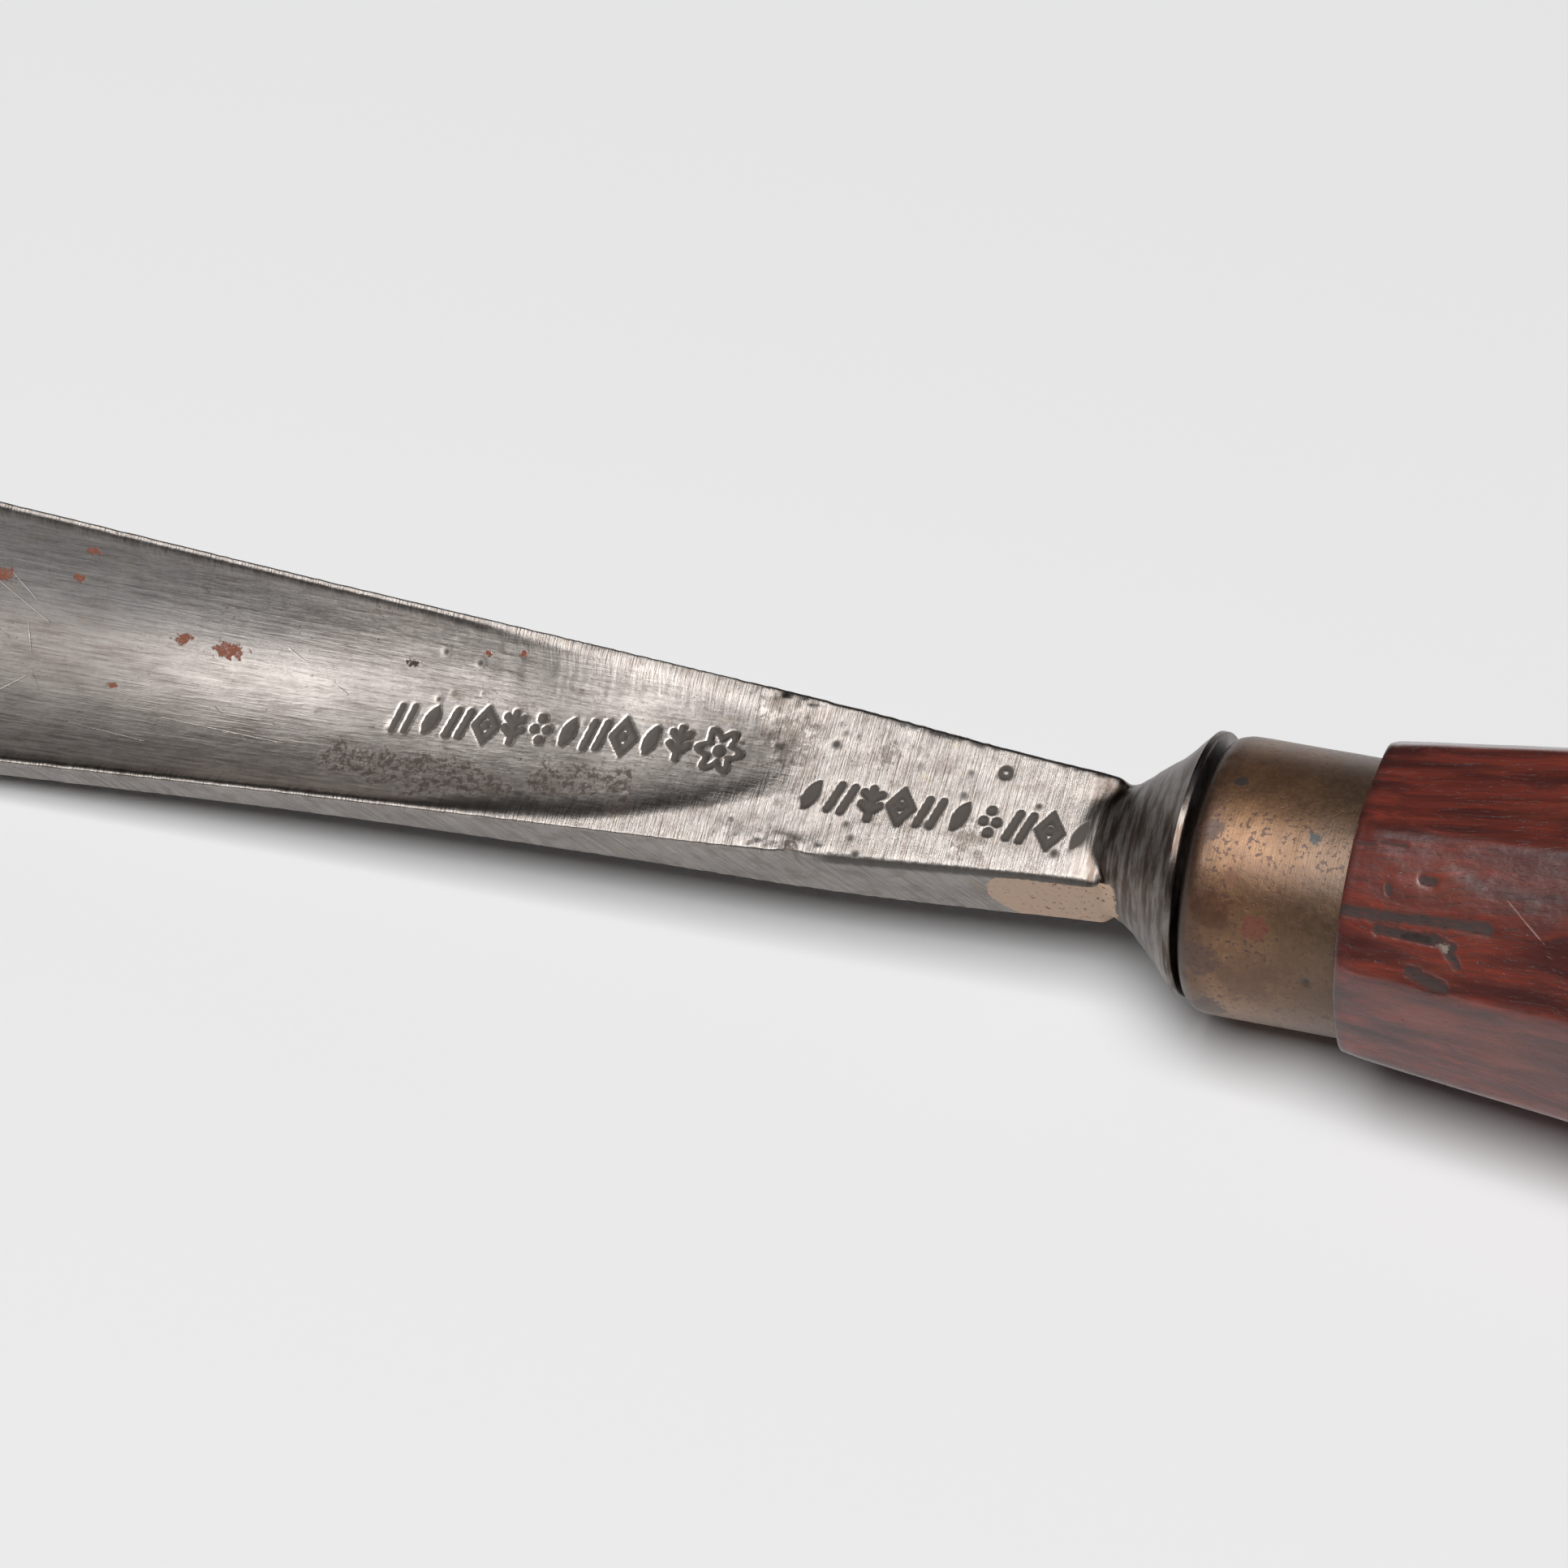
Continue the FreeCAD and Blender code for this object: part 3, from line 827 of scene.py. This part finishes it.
SMUDGES = [(-27.5, 2.2, 1.5), (-21, 2.3, 0.7), (-14.6, -2.3, 1), (-28.6, 4.5, 1.3)]
# straight scratches in the hollow: start (x, y), end (x, y)
FINE_SCRATCHES = [
    ((-69.1, -2.9), (-60.6, -3.3)), ((-82.8, 4.4), (-78.7, 2.3)), ((-81.9, 5), (-79.9, 3.6)),
    ((-80.1, 2), (-79.4, 0.2)), ((-79, -1), (-78, -2.4)), ((-84.6, 2.6), (-81.2, 0.9)),
    ((-62, 3.1), (-57.5, 0.9)), ((-75, -4.4), (-69.5, -4.9)), ((-80.7, -3), (-79.2, -1.6)),
    ((-66, -1.4), (-62.7, -3.7)), ((-94, 3), (-88, 1.5)), ((-104, -4), (-98, -2)),
]

STEEL_COOL = srgb(151, 146, 143)
STEEL_WARM = srgb(158, 151, 145)
STAIN = srgb(108, 98, 91)
FILE_LINE = srgb(112, 101, 94)
PATINA = srgb(104, 106, 110)
BROWN_OXIDE = srgb(84, 72, 66)
SMUDGE = srgb(92, 83, 76)
FRECKLE = srgb(122, 106, 97)
SPECKLE = srgb(74, 66, 60)
YELLOWED = srgb(150, 138, 114)
NECK_BROWN = srgb(82, 68, 60)
SUNK_DIRT = srgb(70, 63, 58)
RUST_RED = srgb(126, 74, 55)
RUST_BLACK = srgb(62, 48, 42)
SCRATCH_BRIGHT = srgb(225, 220, 212)
EDGE_BLACK = srgb(58, 54, 50)
PAINT = srgb(189, 162, 141)
PAINT_SPECK = srgb(120, 78, 58)
STEEL_BUMP = 0.00006  # reach of each material's fine relief, in metres
BRASS_BUMP = 0.00007
WOOD_BUMP = 0.00006


def black_edge_mask(s, mottle):
    """The near edge of the shank's top, which is blackened."""
    edge_y = s.add(s.times(s.x, 0.0833), -2.68)
    off_edge = s.math("ABSOLUTE", s.minus(s.y, edge_y))
    return s.times(
        s.fit(s.add(off_edge, s.times(mottle, 0.5)), 0.36, 0.62, 1, 0),
        s.fit(s.x, -25, -22.5), s.fit(s.x, -7, -6, 1, 0), s.fit(s.z, 2.2, 2.8),
    )


def paint_mask(s, mottle):
    """A dab of old paint on the near flank of the shank, round at its front end."""
    height = s.minus(s.z, 0.6)
    front = s.add(-13.4, s.times(height, height, 0.22), s.times(s.minus(mottle, 0.5), 0.8))
    return s.times(
        s.math("GREATER_THAN", s.x, front),
        s.fit(s.add(s.x, s.times(mottle, 1.2)), -4.6, -4.3, 1, 0),
        s.math("LESS_THAN", s.y, -2.9),
        s.fit(s.add(s.z, s.times(mottle, 0.5)), 2.75, 2.95, 1, 0),
        s.fit(s.z, -2.6, -2.3),
        s.fit(s.noise(3.1, 3.1, shift=77), 0.30, 0.36),
    )


def steel_material():
    s = Shader("worn_steel")
    hollow, stamp, top, neck = s.mask("hollow"), s.mask("stamp"), s.mask("top"), s.mask("neck")
    flat = s.times(top, s.minus(1, hollow))

    # file and polishing marks, each in its own direction
    along = s.noise(0.22, 5, detail=5, rough=0.62)
    along_fine = s.noise(0.8, 17, rough=0.6, shift=9)
    across = s.blend(
        0.62, s.noise(3.4, 0.22, rough=0.6, shift=44),
        s.noise(9, 0.35, detail=4, rough=0.65, shift=4),
    )
    slanted = s.noise(1, 1, detail=4, rough=0.6, vector=s.node(
        "CombineXYZ",
        X=s.add(s.times(s.x, 5.5), s.times(s.z, 3.4)), Y=s.times(s.z, 0.25), Z=s.times(s.x, 0.25),
    ).outputs[0])
    ring = s.noise(2.3, 0.35, detail=4, rough=0.6, shift=2)
    streak = s.blend(hollow, s.blend(flat, slanted, across), s.blend(0.35, along, along_fine))
    streak = s.blend(neck, streak, ring)
    blotch = s.noise(0.28, 0.55, detail=5, rough=0.6, shift=17)
    mottle = s.noise(2.6, 2.6, detail=5, rough=0.7, shift=5)

    tone = s.add(
        s.fit(streak, 0.28, 0.72, 0.70, 1.28, smooth=False),
        s.fit(blotch, 0.3, 0.7, -0.11, 0.11, smooth=False),
        s.fit(mottle, 0.3, 0.7, -0.06, 0.06, smooth=False),
    )
    base = s.mix(blotch, STEEL_COOL, STEEL_WARM)
    # painted light in the hollow: painted shade towards the cutting edge and a painted highlight,
    # up to 2.3 times brighter, before its bowl
    painted_light_zone = s.times(s.fit(s.x, -77, -62, 0.52, 1), s.fit(s.x, -40.5, -30.5, 2.3, 1.1))
    painted_light_zone = s.blend(hollow, s.blend(top, 0.82, 0.92), painted_light_zone)
    base = s.scale(base, s.times(tone, s.blend(neck, painted_light_zone, 0.68)))
    browned = s.vector("MULTIPLY", base, (0.82, 0.72, 0.66))
    base = s.tint(base, browned, s.fit(tone, 0.78, 1.05, 0.45, 0))
    stain = s.fit(s.noise(0.55, 0.8, detail=5, rough=0.65, shift=91), 0.50, 0.66)
    base = s.tint(base, STAIN, stain, s.blend(hollow, 0.5, 0.08))
    filed = s.fit(s.noise(7.5, 0.3, detail=2, rough=0.5, shift=83), 0.57, 0.66)
    base = s.tint(base, FILE_LINE, filed, flat, 0.5)

    # bluish patina on the far wall of the hollow, and brown oxide near its end
    patina = s.fit(s.add(s.y, s.times(blotch, 2.4)), 2.6, 5.4)
    patina = s.times(patina, s.fit(s.x, -64, -54, 1, 0), hollow)
    base = s.tint(base, PATINA, patina, 0.42)
    patches = [s.spot(in_hollow(x, y), r, 0.55, 0.9, (0.8, 1, 1)) for x, y, r in OXIDE]
    oxide = s.times(s.most(*patches), s.fit(mottle, 0.42, 0.55, 0.25, 1), 0.92)
    base = s.tint(base, BROWN_OXIDE, oxide)

    # smudges, freckles in the bowl, specks and yellowed places
    smudge = s.most(*[s.spot(on_blade(x, y), r, 1.5, 1.8) for x, y, r in SMUDGES])
    base = s.tint(base, SMUDGE, smudge, s.fit(mottle, 0.3, 0.6, 0.3, 0.72))
    in_bowl = s.times(hollow, s.fit(s.x, -52, -40))
    freckles = s.fit(s.noise(2.8, 2.8, detail=4, rough=0.6, shift=29), 0.55, 0.66)
    base = s.tint(base, FRECKLE, freckles, in_bowl, 0.36)
    speckle = s.times(
        s.fit(s.noise(5.5, 5.5, detail=2, rough=0.5, shift=31), 0.66, 0.73),
        s.fit(s.noise(0.35, 0.35, detail=2, shift=12), 0.45, 0.62),
    )
    base = s.tint(base, SPECKLE, speckle, 0.65)
    yellowed = s.fit(s.noise(0.9, 0.9, shift=51), 0.62, 0.74, 0, 0.35)
    base = s.tint(base, YELLOWED, yellowed)

    # dark rings on the neck, dirt in the marks and the pits, rust, scratches
    base = s.tint(base, NECK_BROWN, neck, s.fit(ring, 0.38, 0.60, 0.95, 0.15))
    sunk = s.fit(stamp, 0.01, 0.22)
    base = s.tint(base, SUNK_DIRT, sunk, 0.95)

    def rusty(places):
        spots = [s.spot(in_hollow(x, y), r * 0.85, 1.15, 2.6, (0.7, 1.25, 1)) for x, y, r in places]
        return s.most(*spots)

    rust, black_rust = rusty(RUST), rusty(BLACK_RUST)
    base = s.tint(base, RUST_RED, rust, s.fit(mottle, 0.3, 0.5, 0.6, 1))
    base = s.tint(base, RUST_BLACK, black_rust)
    lines = [s.scratch(in_hollow(*a), in_hollow(*b), 0.055) for a, b in FINE_SCRATCHES]
    scratches = s.times(s.most(*lines), s.fit(mottle, 0.35, 0.55, 0.3, 1))
    base = s.tint(base, SCRATCH_BRIGHT, scratches, 0.42)

    black_edge = black_edge_mask(s, mottle)
    base = s.tint(base, EDGE_BLACK, black_edge, 0.85)
    paint = paint_mask(s, mottle)
    specks = s.fit(s.noise(2.3, 2.3, detail=4, rough=0.7, shift=63), 0.60, 0.66)
    base = s.tint(base, s.mix(specks, PAINT, PAINT_SPECK), paint)

    weak = [s.times(oxide, 0.35), s.times(sunk, 0.88), s.times(black_edge, 0.7)]
    dull = s.most(rust, black_rust, *weak, paint)
    metal = s.blend(dull, 1, 0.08)
    rough = s.add(
        s.fit(streak, 0.3, 0.7, 0.25, 0.35, smooth=False), s.times(mottle, 0.06),
        s.times(hollow, s.fit(s.x, -79, -63, 0.15, 0)), s.times(neck, 0.03),
    )
    rough = s.blend(dull, rough, 0.72)
    # how deep the marks are: flanks 1.1, hollow 0.7, its bowl 0.4, flat 1.15, neck 0.8
    weight = s.blend(in_bowl, s.blend(top, 1.1, 0.7), 0.4)
    weight = s.blend(neck, s.blend(flat, weight, 1.15), 0.8)
    relief = s.add(
        s.times(streak, weight),
        s.times(mottle, s.blend(flat, 0.12, 0.24)),
        s.times(rust, 0.35),
        s.times(paint, 0.8),
        s.times(scratches, -0.5),
    )
    turn = TOOL.to_3x3().normalized()
    tangent = s.mix(hollow, (*turn.col[0], 1), (*turn.col[1], 1))
    return s.finish(
        Base_Color=base, Metallic=metal, Roughness=rough, Anisotropic=0.45, Tangent=tangent,
        Normal=s.bump(relief, STEEL_BUMP),
    )


def at_angle(x, degrees, radius):
    """Place at an angle from +Z towards -Y, round the tool's axis."""
    a = math.radians(degrees)
    return (x, -radius * math.sin(a), radius * math.cos(a))


BRASS_BROWN = srgb(112, 82, 60)
BRASS_GOLD = srgb(134, 100, 70)
BRASS_REAR = srgb(84, 68, 55)
BRASS_FRONT = srgb(84, 62, 48)
# painted shade: the ferrule's lip and front rounding, darkened like the gap between them and the
# bolster's disc
BRASS_GAP_SHADE = srgb(52, 39, 32)
BRASS_SPECKLE = srgb(78, 50, 42)
DIMPLE_DIRT = srgb(40, 34, 30)
# spots of patina: x, degrees, radius, colour, strength
BRASS_SPOTS = [
    (2.3, -22, 0.42, srgb(36, 32, 30), 0.9),
    (7.8, -2, 0.42, srgb(52, 64, 66), 0.8),
    (5, 39, 0.85, srgb(104, 48, 36), 0.75),
    (1.6, 56, 1.3, srgb(66, 44, 40), 0.55),
    (1.8, 89, 1.3, srgb(66, 46, 42), 0.7),
    (3.1, 20, 0.6, srgb(110, 58, 42), 0.4),
    (1.3, 2, 0.8, srgb(70, 46, 40), 0.6),
    (4.6, 61, 2.4, srgb(78, 56, 44), 0.35),
    (2.2, 33, 1.3, srgb(88, 54, 42), 0.5),
    (6.3, 160, 1.4, srgb(80, 58, 48), 0.6),
    (4.2, -95, 1.6, srgb(84, 62, 52), 0.6),
]
DULL_SPOTS = 7  # only this many of them, from the first, lose their shine


def brass_material():
    s = Shader("patinated_brass")
    cloud = s.noise(0.32, 0.32, detail=5, rough=0.6)
    fine = s.noise(2.4, 2.4, detail=5, rough=0.7, shift=7)
    turned = s.noise(9, 0.25, rough=0.6, shift=3)
    base = s.mix(s.fit(cloud, 0.35, 0.65), BRASS_BROWN, BRASS_GOLD)
    # darker and greyer towards the handle, browner by the front edge, and nearly black on the lip
    # as painted shade for the gap under the bolster's disc
    base = s.tint(base, BRASS_REAR, s.fit(s.add(s.x, s.times(cloud, 2.5)), 5, 10.6, 0, 0.65))
    base = s.tint(base, BRASS_FRONT, s.fit(s.add(s.x, s.times(cloud, -1.5)), 0, 2, 0.7, 0))
    base = s.tint(base, BRASS_GAP_SHADE, s.fit(s.x, 0.35, 1, 0.95, 0))
    base = s.scale(base, s.fit(fine, 0.25, 0.75, 0.78, 1.18, smooth=False))
    speckle = s.fit(s.noise(3.2, 3.2, shift=15), 0.57, 0.63, 0, 0.85)
    speckle = s.times(speckle, s.fit(cloud, 0.38, 0.56, 0.35, 1))
    base = s.tint(base, BRASS_SPECKLE, speckle)
    spots = []
    for x, degrees, radius, colour, strength in BRASS_SPOTS:
        spot = s.spot(at_angle(x, degrees, FERRULE_RADIUS), radius, 0.75, 1.7)
        spots.append(s.times(spot, strength))
        base = s.tint(base, colour, spots[-1])
    dimple = s.mask("dimple")
    base = s.tint(base, DIMPLE_DIRT, dimple, 0.85)
    dull = s.most(s.times(speckle, 0.6), *spots[:DULL_SPOTS], dimple)
    metal = s.blend(dull, 0.72, 0.25)
    rough = s.add(s.fit(fine, 0.3, 0.7, 0.36, 0.46, smooth=False), s.times(dull, 0.2))
    relief = s.add(s.times(fine, 0.28), s.times(turned, 0.22), s.times(speckle, -0.15))
    return s.finish(
        Base_Color=base, Metallic=metal, Roughness=rough, Normal=s.bump(relief, BRASS_BUMP),
        Coat_Weight=0.42, Coat_Roughness=0.34,
    )


# straight scratches on the handle: start (x, degrees), end (x, degrees)
HANDLE_SCRATCHES = [
    ((19.9, 9), (24.8, 29)), ((14.2, -26), (18.4, -34)), ((19.9, -21), (22.2, -28)),
    ((11.6, 17), (12.6, 12)), ((21, 33), (22, 38)), ((26.5, 16), (27.6, 24)),
    ((33, 5), (37, 9)), ((52, -20), (57, -14)), ((70, 30), (76, 24)),
    ((90, -50), (95, -47)),
]
WOOD_DARK = srgb(64, 27, 23)
WOOD_RED = srgb(118, 50, 38)
WOOD_FIBRE = srgb(66, 32, 29)
WOOD_STREAK = srgb(44, 22, 22)
WOOD_PORE = srgb(36, 18, 18)
WOOD_GLOW = srgb(142, 70, 48)
WOOD_END = srgb(38, 22, 22)
WOOD_SMUDGE = srgb(88, 72, 70)
WOOD_SCRATCH = srgb(184, 126, 108)
GRIME = srgb(62, 51, 49)
HOLE_DARK = srgb(38, 30, 28)
SPLINTER = srgb(146, 132, 122)
ORANGE_DOT = srgb(206, 128, 86)


def on_grip(x, degrees):
    """Place on the surface of the handle."""
    radius = octagon_radius(np.array([float(x)]), np.array([math.radians(degrees)]))
    return at_angle(x, degrees, float(radius[0]))


def wood_material():
    s = Shader("polished_rosewood")
    drift = s.noise(0.05, 0.16, rough=0.5, shift=3)
    push = s.times(s.minus(drift, 0.5), 5)
    bent = s.node(
        "CombineXYZ", X=s.x, Y=s.add(s.y, push), Z=s.add(s.z, s.times(push, 0.7)),
    ).outputs[0]
    band = s.noise(0.035, 0.75, detail=4, vector=bent, shift=8)
    fibre = s.noise(0.16, 3.6, detail=4, rough=0.65, vector=bent, shift=21)
    pore = s.noise(0.55, 8, detail=2, rough=0.5, vector=bent, shift=33)
    cloud = s.noise(0.09, 0.22, rough=0.5, shift=40)
    base = s.mix(s.fit(band, 0.36, 0.64), WOOD_DARK, WOOD_RED)
    base = s.tint(base, WOOD_FIBRE, s.fit(fibre, 0.36, 0.62, 0, 0.55))
    dark = s.times(s.fit(band, 0.30, 0.42, 1, 0), s.fit(fibre, 0.42, 0.6))
    base = s.tint(base, WOOD_STREAK, dark, 0.8)
    pores = s.times(s.fit(pore, 0.62, 0.70), s.fit(cloud, 0.42, 0.60, 0.25, 1))
    base = s.tint(base, WOOD_PORE, pores, 0.7)
    base = s.tint(base, WOOD_GLOW, s.fit(cloud, 0.5, 0.75, 0, 0.35))

    # grime in the cuts, smudges, the darkened ends of the wood, scratches
    cut = s.mask("damage")
    grime = s.times(cut, s.fit(s.noise(2, 4, detail=4, shift=55), 0.34, 0.5, 0.75, 1))
    base = s.tint(base, GRIME, grime)
    hole = s.spot(on_grip(15.3, 29.9), 0.6, 0.4, 1.8, (0.45, 1, 1))
    base = s.tint(base, HOLE_DARK, cut, hole, 0.8)
    base = s.tint(base, SPLINTER, cut, s.spot(on_grip(17, 30), 0.42, 0.7, 2.2), 0.7)
    smudge = s.most(s.spot(on_grip(18.2, 8), 0.7, 0.8, 1.4), s.spot(on_grip(22, 12), 0.6, 0.8, 1.4))
    base = s.tint(base, WOOD_SMUDGE, smudge, 0.4)
    base = s.tint(base, WOOD_END, s.fit(s.add(s.x, s.times(fibre, 0.8)), 10.5, 11.5, 0.65, 0))
    lines = [s.scratch(on_grip(*a), on_grip(*b), 0.08) for a, b in HANDLE_SCRATCHES]
    scratches = s.times(s.most(*lines), s.fit(fibre, 0.35, 0.6, 0.25, 1))
    base = s.tint(base, WOOD_SCRATCH, scratches, 0.3)
    base = s.tint(base, ORANGE_DOT, s.spot(on_grip(22.6, 78), 0.35, 0.6, 2))

    worn = s.fit(cut, 0.05, 0.4)
    rough = s.add(
        s.fit(fibre, 0.3, 0.7, 0.24, 0.36, smooth=False),
        s.times(worn, 0.3), s.times(pores, 0.15), s.times(scratches, 0.1),
    )
    relief = s.add(
        s.times(fibre, -0.35), s.times(pores, -0.45), s.times(scratches, -0.4),
        s.times(s.noise(0.5, 0.9, shift=71), 1.2),
    )
    return s.finish(
        Base_Color=base, Roughness=rough, Specular_IOR_Level=s.blend(worn, 0.5, 0.2),
        Normal=s.bump(relief, WOOD_BUMP), Coat_Weight=s.blend(worn, 0.6, 0), Coat_Roughness=0.24,
    )


def floor_material():
    made = bpy.data.materials.new("pale_table")
    made.use_nodes = True
    surface = made.node_tree.nodes["Principled BSDF"]
    surface.inputs["Base Color"].default_value = (0.80, 0.80, 0.805, 1)
    surface.inputs["Roughness"].default_value = 0.75
    surface.inputs["Specular IOR Level"].default_value = 0.1
    return made


# ---- pieces

def place(name, rings, masks, node, slot, material, sharp_deg, closed=False):
    piece = ring_object(name, rings, sharp_deg, masks, closed)
    piece.data.materials.append(material)
    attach(piece, "root")
    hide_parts(node)


place("blade_forging", *blade_rings(), "gouge_blade", "steel", steel_material(), 50)
place("ferrule_shell", *ferrule_rings(), "ferrule", "brass", brass_material(), 50, closed=True)
place("handle_grip", *handle_rings(), "handle", "rosewood", wood_material(), 50)


# ---- table, light and camera

FLOOR_SIZE = 8
floor_mesh = bpy.data.meshes.new("table_top")
floor_build = bmesh.new()
bmesh.ops.create_grid(floor_build, x_segments=1, y_segments=1, size=FLOOR_SIZE / 2)
floor_build.to_mesh(floor_mesh)
floor_build.free()
floor = add_object("table_top", floor_mesh)
floor_mesh.materials.append(floor_material())


def aim(obj, position, target):
    obj.location = position
    obj.rotation_euler = (Vector(target) - Vector(position)).to_track_quat("-Z", "Y").to_euler()


AIM = TOOL @ Vector((-27.06, -0.47, RIM_Z))  # the point of the blade in the middle of the view

SOFTBOX_SIDE = 1.44
SOFTBOX_FAR = 2
SOFTBOX_LEAN = math.radians(18)  # leans from straight above towards the camera
SOFTBOX_WATTS = 47.5
lamp = bpy.data.lights.new("softbox", "AREA")
lamp.shape = "SQUARE"
lamp.size = SOFTBOX_SIDE
lamp.energy = SOFTBOX_WATTS
softbox = add_object("softbox", lamp)
up = Vector((0, -math.sin(SOFTBOX_LEAN), math.cos(SOFTBOX_LEAN)))
aim(softbox, AIM + up * SOFTBOX_FAR, AIM)


def studio_world():
    """Dim room round the table, pale only near the horizon."""
    world = bpy.data.worlds.new("studio")
    bpy.context.scene.world = world
    world.use_nodes = True
    tree = world.node_tree
    place_node = tree.nodes.new("ShaderNodeTexCoord")
    split = tree.nodes.new("ShaderNodeSeparateXYZ")
    ramp = tree.nodes.new("ShaderNodeValToRGB")
    tree.links.new(place_node.outputs["Generated"], split.inputs[0])
    tree.links.new(split.outputs["Z"], ramp.inputs[0])
    stops = ramp.color_ramp.elements
    stops[0].position = 0
    stops[0].color = (0.78, 0.78, 0.785, 1)
    stops[1].position = 0.08
    stops[1].color = (0.74, 0.74, 0.745, 1)
    for at, value in ((0.12, 0.025), (0.8, 0.025), (1, 0.1)):
        stop = stops.new(at)
        stop.color = (value, value, value * 1.01, 1)
    tree.links.new(ramp.outputs[0], tree.nodes["Background"].inputs["Color"])


studio_world()

CAMERA_ELEVATION = math.radians(47.002)
CAMERA_AZIMUTH = math.radians(-20.066)  # 0 looks along +Y
CAMERA_ROLL = math.radians(1.751)
CAMERA_FAR = 0.45469
CAMERA_LENS = 168.5

look = Vector((
    math.sin(CAMERA_AZIMUTH) * math.cos(CAMERA_ELEVATION),
    math.cos(CAMERA_AZIMUTH) * math.cos(CAMERA_ELEVATION),
    -math.sin(CAMERA_ELEVATION),
))
side = look.cross(Vector((0, 0, 1))).normalized()
upright = side.cross(look)
camera_up = upright * math.cos(CAMERA_ROLL) + side * math.sin(CAMERA_ROLL)
camera_right = look.cross(camera_up)
lens = bpy.data.cameras.new("camera")
lens.lens = CAMERA_LENS
lens.sensor_width = 36
lens.clip_start = 0.01
lens.clip_end = 50
camera = add_object("camera", lens)
camera.matrix_world = Matrix.Translation(AIM - look * CAMERA_FAR) @ Matrix(
    (camera_right, camera_up, -look)
).transposed().to_4x4()
bpy.context.scene.camera = camera
bpy.context.scene.view_settings.view_transform = "Standard"
